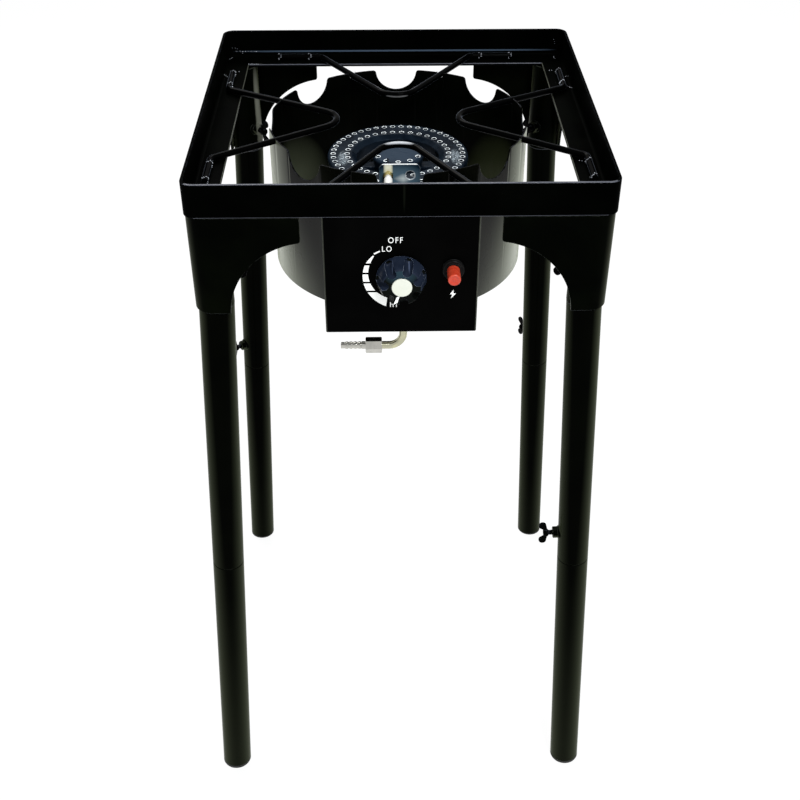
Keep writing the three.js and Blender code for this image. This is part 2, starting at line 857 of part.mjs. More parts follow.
function hoseTail() {
  const start = inletNutLength - inletNutSeat;
  const end = inletNutLength + tailLength;
  const pitch = (tailLength - tailTipLength - seatGap) / (tailBarbCount + 1);
  const profile = [[tailBoreRadius, start], [inletTubeRadius, start], [inletTubeRadius, inletNutLength + pitch]];
  for (let barb = 1; barb <= tailBarbCount; barb++) {
    const foot = inletNutLength + pitch * barb;
    profile.push([tailRadius, foot + seatGap]);
    profile.push([tailBarbRadius, foot + seatGap * 2]);
    profile.push([tailRadius, foot + pitch - seatGap]);
  }
  profile.push([tailRadius, end], [tailBoreRadius, end], [tailBoreRadius, start]);
  return turned(profile, smallSides);
}
mesh("hose_tail", hoseTail(), zincSteel, inletRun);

// Electrode plate, foot first welded to the drum's wall, then standing behind the front notch
const plateTop = drumTop;
const plateFront = plateDistance + plateSheet;
const electrodeAxis = frameTop - electrodeDrop;

function igniterPlate() {
  const half = plateWidth / 2;
  const low = frameTop - plateBottomDrop;
  const shape = new THREE.Shape();
  const corner = plateCornerRadius;
  shape.moveTo(-half, low);
  shape.lineTo(half, low);
  round(shape, half - corner, plateTop - corner, corner, 0, Math.PI / 2, cornerSteps);
  round(shape, corner - half, plateTop - corner, corner, Math.PI / 2, Math.PI, cornerSteps);
  const upright = plate(shape, plateDistance, plateFront).rotateX(Math.PI / 2);
  const reach = drumInner - seatGap;
  const bar = block([-half, -drumRadius, low], [half, -plateDistance, low + plateSheet]);
  const floor = common(bar, rod(reach, low - sink, low + plateSheet + sink, drumSides));
  const column = block([-half, -drumRadius, low - strapTabHeight / 2], [half, 0, low + plateSheet]);
  const ring = tube(reach, reach - plateSheet, low - strapTabHeight / 2, low + plateSheet, drumSides);
  const sight = rod(plateHoleRadius, plateDistance - overrun, plateFront + overrun);
  const neck = rod(electrodeNeckRadius + screwGap, plateDistance - overrun, plateFront + overrun);
  return cut(
    join(upright, floor, common(column, ring)),
    sight.rotateX(Math.PI / 2).translate(plateHoleShift, 0, electrodeAxis),
    neck.rotateX(Math.PI / 2).translate(electrodeShift, 0, electrodeAxis),
  );
}
mesh("igniter_plate", igniterPlate(), brightSteel);

const electrodeLine = facingFront(electrodeShift, electrodeAxis);
const nutBack = plateFront + seatGap;
const nutFront = nutBack + electrodeNutLength;
const ceramicBack = plateDistance - electrodeBack;

function electrodeCeramic() {
  return turned(
    [
      [0, ceramicBack],
      [electrodeNeckRadius, ceramicBack],
      [electrodeNeckRadius, nutFront + seatGap],
      [electrodeRadius, nutFront + seatGap],
      [electrodeRadius, plateFront + electrodeReach - wireRadius],
      [electrodeRadius - wireRadius, plateFront + electrodeReach],
      [0, plateFront + electrodeReach],
    ],
    smallSides,
  );
}
mesh("electrode_ceramic", electrodeCeramic(), ceramic, electrodeLine);
const nutHole = electrodeNeckRadius + screwGap;
mesh("electrode_nut", hexNut(electrodeNutRadius, nutHole, nutBack, nutFront), brass, electrodeLine);

function electrodeWire() {
  const level = electrodeAxis;
  const start = new THREE.Vector3(electrodeShift, seatGap - ceramicBack, level);
  const corner = new THREE.Vector3(electrodeShift, -wireTipDistance, level);
  const tip = new THREE.Vector3(electrodeShift, -wireTipDistance, frameTop - wireTipDrop);
  const stations = [start, ...bent(start, corner, tip, wireBend, bendSteps), tip];
  return swept(roundSection(wireRadius, rodSides), stations);
}
mesh("electrode_wire", electrodeWire(), zincSteel);

// Corner brackets, seen in the corner where X and Y are both positive
function bracketSheetShape(outerRadius, reach, end) {
  const shape = new THREE.Shape();
  shape.moveTo(reach, end);
  round(shape, cornerOffset, cornerOffset, outerRadius, 0, Math.PI / 2, tubeSides / 4);
  shape.lineTo(end, reach);
  return shape;
}

function gussetCutter() {
  const shape = new THREE.Shape();
  const inner = bracketOuter - wingLength;
  const arcX = bracketOuter - wingArcInset;
  const arcZ = stubBottom - wingArcDrop;
  const toFillet = wingArc + wingFillet;
  const filletX = inner + wingFillet;
  const filletZ = arcZ + Math.sqrt(toFillet * toFillet - (filletX - arcX) * (filletX - arcX));
  const touch = Math.atan2(filletZ - arcZ, filletX - arcX);
  shape.moveTo(inner - overrun, stubBottom - wingArcDrop);
  shape.lineTo(inner - overrun, filletZ);
  round(shape, filletX, filletZ, wingFillet, Math.PI, Math.PI + touch, filletSteps);
  round(shape, arcX, arcZ, wingArc, touch, 0, notchSteps);
  const flat = plate(shape, tubeRadius, frameHalf + overrun);
  return flat.rotateX(Math.PI / 2).scale(1, -1, 1);
}

function mirroredAcross(geometry) {
  return geometry.clone().applyMatrix4(
    new THREE.Matrix4().set(0, 1, 0, 0, 1, 0, 0, 0, 0, 0, 1, 0, 0, 0, 0, 1),
  );
}

// Turns every face round, for a geometry that a mirror turned inside out
function reversed(geometry) {
  const plain = geometry.index ? geometry.toNonIndexed() : geometry.clone();
  const place = plain.attributes.position;
  for (let face = 0; face < place.count; face += 3) {
    const second = new THREE.Vector3().fromBufferAttribute(place, face + 1);
    const third = new THREE.Vector3().fromBufferAttribute(place, face + 2);
    place.setXYZ(face + 1, third.x, third.y, third.z);
    place.setXYZ(face + 2, second.x, second.y, second.z);
  }
  return plain;
}

// A geometry along X from the tube's axis, laid to a bearing round it
function screwNut(bearing, level) {
  const inner = tubeRadius - tubeWall / 2;
  const nut = rod(nutRadius, inner, tubeRadius + nutLength, hexSides).rotateY(Math.PI / 2);
  return nut.rotateZ(bearing).translate(0, 0, level);
}

function screwHole(bearing, level) {
  const hole = rod(screwRadius + screwGap, spigotRadius - tubeWall / 2, tubeRadius + nutLength + overrun);
  return hole.rotateY(Math.PI / 2).rotateZ(bearing).translate(0, 0, level);
}

const inward = Math.PI * 1.25;

function cornerBracket() {
  const end = bracketOuter - wingLength;
  const outer = plate(bracketSheetShape(tubeRadius + bracketSheet, bracketOuter, end), stubBottom, stubTop);
  const inside = bracketOuter - bracketSheet;
  const hollow = bracketSheetShape(tubeRadius, inside, end - overrun);
  const inner = plate(hollow, stubBottom - overrun, stubTop + overrun);
  const strip = cut(outer, inner);
  const first = gussetCutter();
  const wings = cut(strip, reversed(first), mirroredAcross(first));
  const stub = tube(tubeRadius + sink / 4, tubeBore, stubBottom, stubTop);
  const nut = screwNut(inward, stubBottom + socketScrewRise).translate(cornerOffset, cornerOffset, 0);
  const hole = screwHole(inward, stubBottom + socketScrewRise).translate(cornerOffset, cornerOffset, 0);
  return cut(join(wings, stub.translate(cornerOffset, cornerOffset, 0), nut), hole);
}

// Wing screw along X: shank, hub and two ears in the upright plane
function wingScrew() {
  const tip = spigotRadius + tipGap;
  const hubStart = tubeRadius + nutLength + screwShow;
  const hubEnd = hubStart + screwHubLength;
  const shank = rod(screwRadius, tip, hubStart + sink, smallSides);
  const hub = rod(screwHubRadius, hubStart, hubEnd, smallSides);
  const lobe = earSpan / 2 - earRadius;
  const lobeLevel = hubStart + earRise - earRadius;
  const half = screwHubRadius / 2;
  const outline = new THREE.Shape();
  outline.moveTo(-half, hubStart + sink);
  outline.lineTo(half, hubStart + sink);
  round(outline, lobe, lobeLevel, earRadius, -Math.PI / 3, Math.PI * 0.75, earSteps);
  outline.lineTo(screwHubRadius, hubEnd - sink / 2);
  outline.lineTo(-screwHubRadius, hubEnd - sink / 2);
  round(outline, -lobe, lobeLevel, earRadius, Math.PI / 4, Math.PI * 4 / 3, earSteps);
  const ears = plate(outline, -earSheet / 2, earSheet / 2).rotateX(Math.PI / 2);
  return join(shank, hub, ears).rotateY(Math.PI / 2);
}

// A leg's own frame: its axis from the middle of the stub's bottom rim, down along local -Z
const legWay = new THREE.Vector3(legSplayShare, legSplayShare, -1).normalize();
const legTurn = new THREE.Quaternion().setFromUnitVectors(new THREE.Vector3(0, 0, -1), legWay);
const legStretch = -1 / legWay.z; // length along the leg for each unit of drop
const upperLegLength = upperLegDrop * legStretch;
const legEnd = stubBottom * legStretch;
const jointOnLeg = -upperLegLength;

function upperLeg(bearing) {
  const shaft = rod(tubeRadius, jointOnLeg, spigotRadius, tubeSides).applyQuaternion(legTurn);
  const above = block([-frameHalf, -frameHalf, -seatGap], [frameHalf, frameHalf, frameHalf]);
  const spigot = rod(spigotRadius, -spigotRadius, spigotLength, tubeSides);
  const nutLevel = jointOnLeg + midScrewRise;
  const nut = screwNut(bearing, nutLevel).applyQuaternion(legTurn);
  const bore = rod(tubeBore, jointOnLeg - overrun, -spigotRadius, tubeSides).applyQuaternion(legTurn);
  const spigotHole = rod(spigotBore, -2 * spigotRadius, spigotLength + overrun, tubeSides);
  const hole = screwHole(bearing, nutLevel).applyQuaternion(legTurn);
  return cut(join(cut(shaft, above), spigot, nut), bore, spigotHole, hole);
}

function lowerLeg() {
  const end = footHead * legStretch + seatGap - legEnd;
  const shoulder = jointOnLeg - seatGap;
  const top = jointOnLeg + lowerSpigotLength;
  return turned([
    [tubeBore, end],
    [tubeRadius, end],
    [tubeRadius, shoulder],
    [spigotRadius, shoulder],
    [spigotRadius, top],
    [spigotBore, top],
    [spigotBore, shoulder - tubeRadius],
    [tubeBore, shoulder - tubeRadius - tubeWall],
    [tubeBore, end],
  ]);
}

// Rubber plug in the leg's end, its head trimmed level where it meets the floor
function footCap() {
  const top = footHead * legStretch - legEnd;
  const low = -legEnd - footEdge;
  const plug = turned([
    [0, low],
    [tubeRadius - footEdge, low],
    [tubeRadius, low + footEdge],
    [tubeRadius, top],
    [tubeBore - seatGap, top],
    [tubeBore - seatGap, top + footStem],
    [0, top + footStem],
  ]);
  const floorLevel = -stubBottom;
  const below = block([-frameHalf, -frameHalf, floorLevel - frameHalf], [frameHalf, frameHalf, floorLevel]);
  return cut(plug, below.applyQuaternion(legTurn.clone().invert()));
}

const corners = ["back_right", "back_left", "front_left", "front_right"];
const midBearings = [2.09, 2.18, 4.58, 4.71]; // where each mid screw points, seen in its own corner
corners.forEach((name, index) => {
  const corner = new THREE.Group();
  corner.rotation.z = (index * Math.PI) / 2;
  group.add(corner);
  mesh("corner_bracket_" + name, cornerBracket(), blackCoat, corner);
  const socket = new THREE.Group();
  socket.position.set(cornerOffset, cornerOffset, stubBottom);
  corner.add(socket);
  const socketScrew = mesh("socket_screw_" + name, wingScrew(), blackCoat, socket);
  socketScrew.position.z = socketScrewRise;
  socketScrew.rotation.z = inward;
  mesh("leg_upper_" + name, upperLeg(midBearings[index]), blackLeg, socket);
  const leg = new THREE.Group();
  leg.quaternion.copy(legTurn);
  socket.add(leg);
  const midScrew = mesh("mid_screw_" + name, wingScrew(), blackCoat, leg);
  midScrew.position.z = jointOnLeg + midScrewRise;
  midScrew.rotation.z = midBearings[index];
  mesh("leg_lower_" + name, lowerLeg(), blackLeg, leg);
  mesh("foot_cap_" + name, footCap(), rubber, leg);
});

export default group;
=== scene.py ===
# %% [markdown]
# # A gas burner stove, made piece by piece
# This lesson dresses a freestanding gas stove: a welded square frame, four bent rods that carry the pot, a scalloped
# wind shield round an iron burner, a control panel, and four telescoping legs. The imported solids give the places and
# sizes, and each visible piece is then made again with round forms, soft edges and a finish of its own.

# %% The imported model
import math
import random

import bmesh
import bpy
from mathutils import Matrix, Vector


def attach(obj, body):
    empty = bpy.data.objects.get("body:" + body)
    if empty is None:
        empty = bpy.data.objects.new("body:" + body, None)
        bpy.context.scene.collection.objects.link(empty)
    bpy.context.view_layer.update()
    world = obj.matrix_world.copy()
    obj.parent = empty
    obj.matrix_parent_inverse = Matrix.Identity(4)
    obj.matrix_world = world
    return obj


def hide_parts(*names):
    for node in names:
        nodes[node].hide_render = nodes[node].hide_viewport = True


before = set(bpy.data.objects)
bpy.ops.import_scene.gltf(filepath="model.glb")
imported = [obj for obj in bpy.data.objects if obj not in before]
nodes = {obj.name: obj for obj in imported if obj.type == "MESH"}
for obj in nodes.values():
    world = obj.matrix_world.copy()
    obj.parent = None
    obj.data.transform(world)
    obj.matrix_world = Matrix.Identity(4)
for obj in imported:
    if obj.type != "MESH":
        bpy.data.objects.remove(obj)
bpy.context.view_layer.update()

MM = 0.001

# %% [markdown]
# ## Camera
# The camera stands a little over a metre in front of the stove and nearly half a metre above its top. It looks down,
# so the legs draw together towards the floor. Its place, turns and lens were fitted to the frame's corners, the
# brackets and the feet. Three turns after each other, about the camera's own axis, its side axis and the upright
# axis, are easier to read than one set of mixed angles.

# %% Camera
CAMERA_PLACE = (-18, -1135.1, 1280)
CAMERA_DOWN = 37.099
CAMERA_YAW = -1.031
CAMERA_ROLL = 0.035
LENS = 51.66


def add_camera():
    lens = bpy.data.cameras.new("stove_camera")
    lens.lens = LENS
    camera = bpy.data.objects.new("stove_camera", lens)
    bpy.context.scene.collection.objects.link(camera)
    yaw = Matrix.Rotation(math.radians(CAMERA_YAW), 4, "Z")
    tilt = Matrix.Rotation(math.radians(90 - CAMERA_DOWN), 4, "X")
    roll = Matrix.Rotation(math.radians(CAMERA_ROLL), 4, "Z")
    camera.matrix_world = Matrix.Translation(Vector(CAMERA_PLACE) * MM) @ yaw @ tilt @ roll
    bpy.context.scene.camera = camera
    return camera


print("camera at", [round(value, 3) for value in add_camera().matrix_world.translation])

# %% [markdown]
# ## Studio
# The stove stands on a pale floor under one large soft lamp above and behind it and a weaker one in front, in a room
# that is white all round. The floor answers the camera with plain white and keeps a part of its own shading, which
# holds the shadow. In the gloss of black enamel such a room is too bright, so the dark finishes below have very
# little gloss. Real enamel has far more: dark cards round the stove would be the truer way.

# %% Studio
WORLD_LIGHT = 0.5
ROOM_TONE = (0.95, 0.98, 1, 1)
FLOOR_TONE = (0.9, 0.9, 0.89, 1)
FLOOR_GLOW_SHARE = 0.86
FLOOR_GLOW = 1.06


def link(tree, output, target):
    tree.links.new(output, target)


def seen_plainly(tree):
    """1 for rays that show a background: straight from the camera, in a gloss or through glass."""
    path = tree.nodes.new("ShaderNodeLightPath")
    first = tree.nodes.new("ShaderNodeMath")
    first.operation = "MAXIMUM"
    link(tree, path.outputs["Is Camera Ray"], first.inputs[0])
    link(tree, path.outputs["Is Glossy Ray"], first.inputs[1])
    second = tree.nodes.new("ShaderNodeMath")
    second.operation = "MAXIMUM"
    link(tree, first.outputs[0], second.inputs[0])
    link(tree, path.outputs["Is Transmission Ray"], second.inputs[1])
    return second.outputs[0]


def light_world():
    world = bpy.data.worlds.new("white_room")
    bpy.context.scene.world = world
    world.use_nodes = True
    tree = world.node_tree
    tree.nodes.clear()
    room = tree.nodes.new("ShaderNodeBackground")
    room.inputs["Color"].default_value = ROOM_TONE
    room.inputs["Strength"].default_value = WORLD_LIGHT
    paper = tree.nodes.new("ShaderNodeBackground")
    paper.inputs["Strength"].default_value = 1
    mix = tree.nodes.new("ShaderNodeMixShader")
    link(tree, seen_plainly(tree), mix.inputs[0])
    link(tree, room.outputs[0], mix.inputs[1])
    link(tree, paper.outputs[0], mix.inputs[2])
    out = tree.nodes.new("ShaderNodeOutputWorld")
    link(tree, mix.outputs[0], out.inputs["Surface"])


def floor_finish():
    finish = bpy.data.materials.new("pale_floor")
    finish.use_nodes = True
    tree = finish.node_tree
    tree.nodes.clear()
    paint = tree.nodes.new("ShaderNodeBsdfDiffuse")
    paint.inputs["Color"].default_value = FLOOR_TONE
    glow = tree.nodes.new("ShaderNodeEmission")
    glow.inputs["Strength"].default_value = FLOOR_GLOW
    share = tree.nodes.new("ShaderNodeMath")
    share.operation = "MULTIPLY"
    share.inputs[1].default_value = FLOOR_GLOW_SHARE
    link(tree, seen_plainly(tree), share.inputs[0])
    mix = tree.nodes.new("ShaderNodeMixShader")
    link(tree, share.outputs[0], mix.inputs[0])
    link(tree, paint.outputs[0], mix.inputs[1])
    link(tree, glow.outputs[0], mix.inputs[2])
    out = tree.nodes.new("ShaderNodeOutputMaterial")
    link(tree, mix.outputs[0], out.inputs["Surface"])
    return finish


def add_floor():
    bpy.ops.mesh.primitive_circle_add(vertices=64, radius=8, fill_type="NGON", location=(0, 0, -0.0005))
    floor = bpy.context.object
    floor.name = "floor"
    floor.data.materials.append(floor_finish())


def add_lamp(name, place, target, size, power, tint=(1, 1, 1)):
    lamp = bpy.data.lights.new(name, "AREA")
    lamp.shape = "RECTANGLE"
    lamp.size, lamp.size_y = size
    lamp.energy = power
    lamp.color = tint
    holder = bpy.data.objects.new(name, lamp)
    bpy.context.scene.collection.objects.link(holder)
    holder.location = place
    way = Vector(target) - Vector(place)
    holder.rotation_euler = way.to_track_quat("-Z", "Y").to_euler()


bpy.context.scene.view_settings.view_transform = "Standard"
light_world()
add_floor()
add_lamp("back_softbox", (-0.5, 1.5, 2.5), (0, 0, 0.7), (1.8, 0.9), 46, (1, 0.99, 0.96))
add_lamp("front_softbox", (0.7, -1.6, 2.6), (0, 0, 0.6), (0.9, 0.7), 38, (0.96, 0.98, 1))

# %% [markdown]
# ## Working by hand, in code
# Every tool acts on what is selected, so each step begins by selecting one piece and nothing else. In edit mode the
# faces or edges to work on are picked by where they are, the way a hand would point at them.

# %% Selecting and editing
def only(piece):
    bpy.ops.object.select_all(action="DESELECT")
    bpy.context.view_layer.objects.active = piece
    piece.select_set(True)
    return piece


def edit(piece, mode="FACE"):
    only(piece)
    bpy.ops.object.mode_set(mode="EDIT")
    bpy.ops.mesh.select_mode(type=mode)
    bpy.ops.mesh.select_all(action="SELECT")


def close_edit():
    bpy.ops.mesh.normals_make_consistent(inside=False)
    bpy.ops.object.mode_set(mode="OBJECT")


def pick(kind, test):
    """Selects the faces or edges whose middle, in millimetres, passes the test. Faces give their normal too."""
    shell = bmesh.from_edit_mesh(bpy.context.object.data)
    for part in shell.verts[:] + shell.edges[:] + shell.faces[:]:
        part.select_set(False)
    for part in getattr(shell, kind):
        corners = part.verts[:]
        middle = sum((corner.co for corner in corners), Vector()) / len(corners) / MM
        way = part.normal if kind == "faces" else (corners[1].co - corners[0].co).normalized()
        if test(middle, way):
            part.select_set(True)
    shell.select_flush_mode()
    bmesh.update_edit_mesh(bpy.context.object.data)


def settle(piece, place=None):
    """Lays a piece in its place and writes the place into its mesh."""
    if place is not None:
        piece.matrix_world = place @ piece.matrix_world
    only(piece)
    bpy.ops.object.transform_apply(location=True, rotation=True, scale=True)
    return piece


def apply_modifier(piece, kind, **settings):
    only(piece)
    bpy.ops.object.modifier_add(type=kind)
    modifier = piece.modifiers[-1]
    for key, value in settings.items():
        setattr(modifier, key, value)
    bpy.ops.object.modifier_apply(modifier=modifier.name)
    return piece


def soften(piece, width=0.5, segments=2, angle=40, smooth=38, rim=-1):
    """Rounds the sharp edges by a width in millimetres, then shades the flats flat and the rounds round."""
    if width:
        apply_modifier(piece, "BEVEL", width=width * MM, segments=segments, limit_method="ANGLE",
                       angle_limit=math.radians(angle), miter_outer="MITER_ARC", material=rim)
    only(piece)
    bpy.ops.object.shade_smooth_by_angle(angle=math.radians(smooth))
    return apply_modifier(piece, "WEIGHTED_NORMAL", keep_sharp=True)


def carve(piece, cutter, how="DIFFERENCE"):
    apply_modifier(piece, "BOOLEAN", operation=how, object=cutter, solver="EXACT")
    bpy.data.objects.remove(cutter)
    return piece


def twin(piece, name):
    """A copy with a mesh of its own."""
    made = bpy.data.objects.new(name, piece.data.copy())
    bpy.context.scene.collection.objects.link(made)
    return made


def weld(name, *pieces):
    """Makes several forms one piece."""
    bpy.ops.object.select_all(action="DESELECT")
    for piece in pieces:
        piece.select_set(True)
    bpy.context.view_layer.objects.active = pieces[0]
    bpy.ops.object.join()
    pieces[0].name = name
    return pieces[0]


# %% [markdown]
# ## Four ways to start a form
# Almost every piece of the stove is turned, cut from flat bar, bent from sheet or bent from rod. A turned form starts
# as a circle that is extruded and scaled from station to station. A flat form starts as a filled circle whose corners
# are moved onto the outline. Bent sheet starts as a grid stood on its edge, and rod as a path with a round section.

# %% Turned, flat, sheet and rod forms
def turned(name, profile, sides=96, ring=False):
    """A form of revolution about Z from (radius, height) stations; ring says that the section closes on itself."""
    radius, level = profile[0]
    bpy.ops.object.select_all(action="DESELECT")
    bpy.ops.mesh.primitive_circle_add(vertices=sides, radius=radius * MM, location=(0, 0, 0))
    piece = bpy.context.object
    piece.name = name
    edit(piece, "EDGE")
    bpy.ops.transform.translate(value=(0, 0, level * MM))
    for wide, high in profile[1:]:
        bpy.ops.mesh.extrude_edges_move(TRANSFORM_OT_translate={"value": (0, 0, (high - level) * MM)})
        bpy.ops.transform.resize(value=(wide / radius, wide / radius, 1), center_override=(0, 0, 0))
        radius, level = wide, high
    bpy.ops.mesh.select_all(action="SELECT")
    if ring:
        bpy.ops.mesh.remove_doubles(threshold=0.001 * MM)
    else:
        bpy.ops.mesh.fill_holes(sides=0)
    bpy.ops.mesh.select_all(action="SELECT")
    close_edit()
    return piece


def pipe(name, outer, inner, low, high, sides=64):
    return turned(name, [(inner, low), (outer, low), (outer, high), (inner, high), (inner, low)], sides, ring=True)


def flat(name, outline, low, high):
    """A flat outline of (x, y) corners, thickened along Z between two heights."""
    bpy.ops.object.select_all(action="DESELECT")
    bpy.ops.mesh.primitive_circle_add(vertices=len(outline), radius=MM, fill_type="NGON", location=(0, 0, 0))
    piece = bpy.context.object
    piece.name = name
    for corner, (x, y) in zip(piece.data.vertices, outline):
        corner.co = Vector((x, y, low)) * MM
    edit(piece)
    bpy.ops.mesh.extrude_region_move(TRANSFORM_OT_translate={"value": (0, 0, (high - low) * MM)})
    bpy.ops.mesh.select_all(action="SELECT")
    close_edit()
    return piece


def sheet(name, stations, thickness, closed=False):
    """Upright sheet along (x, y, low, high) stations, listed anticlockwise, thickened inwards."""
    last = len(stations) - 1
    bpy.ops.object.select_all(action="DESELECT")
    bpy.ops.mesh.primitive_grid_add(x_subdivisions=last, y_subdivisions=1, size=2, location=(0, 0, 0))
    piece = bpy.context.object
    piece.name = name
    for corner in piece.data.vertices:
        x, y, low, high = stations[round((corner.co.x + 1) / 2 * last)]
        corner.co = Vector((x, y, high if corner.co.y > 0 else low)) * MM
    if closed:
        edit(piece, "VERT")
        bpy.ops.mesh.remove_doubles(threshold=0.001 * MM)
        bpy.ops.object.mode_set(mode="OBJECT")
    return apply_modifier(piece, "SOLIDIFY", thickness=thickness * MM, offset=-1, use_even_offset=True)


def bar(name, points, radius, resolution=6):
    """A round bar along points, in millimetres, with flat ends."""
    path = bpy.data.curves.new(name, "CURVE")
    path.dimensions = "3D"
    path.bevel_depth = radius * MM
    path.bevel_resolution = resolution
    path.use_fill_caps = True
    spline = path.splines.new("POLY")
    spline.points.add(len(points) - 1)
    for knot, point in zip(spline.points, points):
        knot.co = (*(Vector(point) * MM), 1)
    piece = bpy.data.objects.new(name, path)
    bpy.context.scene.collection.objects.link(piece)
    only(piece)
    bpy.ops.object.convert(target="MESH")
    piece = bpy.context.object
    edit(piece)
    bpy.ops.mesh.remove_doubles(threshold=0.001 * MM)
    close_edit()
    return piece


def box(name, low, high):
    """A block between two corners."""
    size = Vector(high) - Vector(low)
    middle = (Vector(high) + Vector(low)) / 2
    bpy.ops.object.select_all(action="DESELECT")
    bpy.ops.mesh.primitive_cube_add(size=1, location=middle * MM)
    piece = bpy.context.object
    piece.name = name
    piece.scale = size * MM
    return settle(piece)


def arc(x, y, radius, start, end, steps):
    """Points round part of a circle, its angles in degrees."""
    turns = [math.radians(start + (end - start) * step / steps) for step in range(steps + 1)]
    return [(x + radius * math.cos(turn), y + radius * math.sin(turn)) for turn in turns]


def bend(before, corner, after, radius, steps):
    """Points round a bend of a rod between two straight runs."""
    corner = Vector(corner)
    back = (Vector(before) - corner).normalized()
    ahead = (Vector(after) - corner).normalized()
    half = back.angle(ahead) / 2
    centre = corner + (back + ahead).normalized() * radius / math.sin(half)
    start = corner + back * radius / math.tan(half) - centre
    axis = back.cross(start).normalized()
    sweep = math.pi - 2 * half
    return [Matrix.Rotation(sweep * step / steps, 3, axis) @ start + centre for step in range(steps + 1)]


FACING_FRONT = Matrix.Rotation(math.pi / 2, 4, "X")


def at(x, y, z):
    return Matrix.Translation(Vector((x, y, z)) * MM)


def quarter(count):
    return Matrix.Rotation(count * math.pi / 2, 4, "Z")


print("points round a right-angled bend in 10 steps:", len(bend((9, 0, 0), (0, 0, 0), (0, 9, 0), 4, 10)))

# %% [markdown]
# ## Finishes: shared effects
# Paint is never one flat colour. Sprayed enamel dries with a faint orange peel, handling leaves dull smudges, and the
# paint thins on edges; the lighter colour on edges is wear and also a painted highlight along them. Each effect is a
# small node group with its own inputs, so that many finishes can share it.

# %% Shared effects
def effect(name, numbers, results):
    """An empty node group with number inputs and the named outputs."""
    tree = bpy.data.node_groups.new(name, "ShaderNodeTree")
    for title, value in numbers.items():
        socket = tree.interface.new_socket(title, in_out="INPUT", socket_type="NodeSocketFloat")
        socket.default_value = value
    for title in results:
        tree.interface.new_socket(title, in_out="OUTPUT", socket_type="NodeSocketFloat")
    return tree, tree.nodes.new("NodeGroupInput"), tree.nodes.new("NodeGroupOutput")


def noise(tree, scale, detail=3.0, stretch=None, distortion=0.0):
    """Noise over the piece's own space; scale may be a number or an output."""
    place = tree.nodes.new("ShaderNodeTexCoord").outputs["Object"]
    if stretch:
        mapping = tree.nodes.new("ShaderNodeMapping")
        mapping.inputs["Scale"].default_value = stretch
        link(tree, place, mapping.inputs["Vector"])
        place = mapping.outputs["Vector"]
    texture = tree.nodes.new("ShaderNodeTexNoise")
    texture.inputs["Detail"].default_value = detail
    texture.inputs["Distortion"].default_value = distortion
    link(tree, place, texture.inputs["Vector"])
    if isinstance(scale, (int, float)):
        texture.inputs["Scale"].default_value = scale
    else:
        link(tree, scale, texture.inputs["Scale"])
    return texture.outputs["Fac"]


def spread(tree, value, low, high, to_low=0.0, to_high=1.0):
    """Maps a part of a value's range to another range."""
    node = tree.nodes.new("ShaderNodeMapRange")
    for title, number in (("From Min", low), ("From Max", high), ("To Min", to_low), ("To Max", to_high)):
        node.inputs[title].default_value = number
    link(tree, value, node.inputs["Value"])
    return node.outputs["Result"]


def sum_of(tree, first, second, operation="ADD"):
    node = tree.nodes.new("ShaderNodeMath")
    node.operation = operation
    for socket, value in zip(node.inputs, (first, second)):
        if isinstance(value, (int, float)):
            socket.default_value = value
        else:
            link(tree, value, socket)
    return node.outputs[0]


def make_orange_peel():
    tree, given, out = effect("orange_peel", {"Scale": 320.0}, ["Height"])
    coarse = noise(tree, given.outputs["Scale"], 1.5)
    fine = noise(tree, 1900, 2.0)
    link(tree, sum_of(tree, coarse, sum_of(tree, fine, 0.22, "MULTIPLY")), out.inputs["Height"])
    return tree


def make_smudges():
    tree, given, out = effect("smudges", {"Scale": 14.0}, ["Mask", "Specks"])
    clouds = spread(tree, noise(tree, given.outputs["Scale"], 5.0, distortion=0.6), 0.38, 0.72)
    link(tree, clouds, out.inputs["Mask"])
    link(tree, spread(tree, noise(tree, 700, 2.0), 0.71, 0.78), out.inputs["Specks"])
    return tree


def make_wear_and_edge_highlight():
    """Where the surface turns sharply, broken up by noise: paint wear and a painted edge highlight in one."""
    tree, given, out = effect("wear_and_edge_highlight", {"Radius": 0.0006, "Amount": 1.0}, ["Mask"])
    bevel = tree.nodes.new("ShaderNodeBevel")
    bevel.samples = 3
    link(tree, given.outputs["Radius"], bevel.inputs["Radius"])
    skin = tree.nodes.new("ShaderNodeNewGeometry")
    dot = tree.nodes.new("ShaderNodeVectorMath")
    dot.operation = "DOT_PRODUCT"
    link(tree, bevel.outputs[0], dot.inputs[0])
    link(tree, skin.outputs["Normal"], dot.inputs[1])
    edge = spread(tree, dot.outputs["Value"], 0.995, 0.9)
    patchy = spread(tree, noise(tree, 160, 4.0), 0.42, 0.62)
    worn = sum_of(tree, sum_of(tree, edge, patchy, "MULTIPLY"), given.outputs["Amount"], "MULTIPLY")
    link(tree, worn, out.inputs["Mask"])
    return tree


def make_brushing():
    tree, given, out = effect("brushing", {"Scale": 60.0}, ["Height"])
    lines = noise(tree, given.outputs["Scale"], 4.0, stretch=(1, 1, 34))
    link(tree, lines, out.inputs["Height"])
    return tree


def make_casting():
    """The sandy skin of cast iron."""
    tree, given, out = effect("casting_skin", {"Scale": 420.0}, ["Height"])
    grains = noise(tree, given.outputs["Scale"], 4.0)
    swells = noise(tree, 70, 2.0)
    link(tree, sum_of(tree, grains, sum_of(tree, swells, 0.8, "MULTIPLY")), out.inputs["Height"])
    return tree


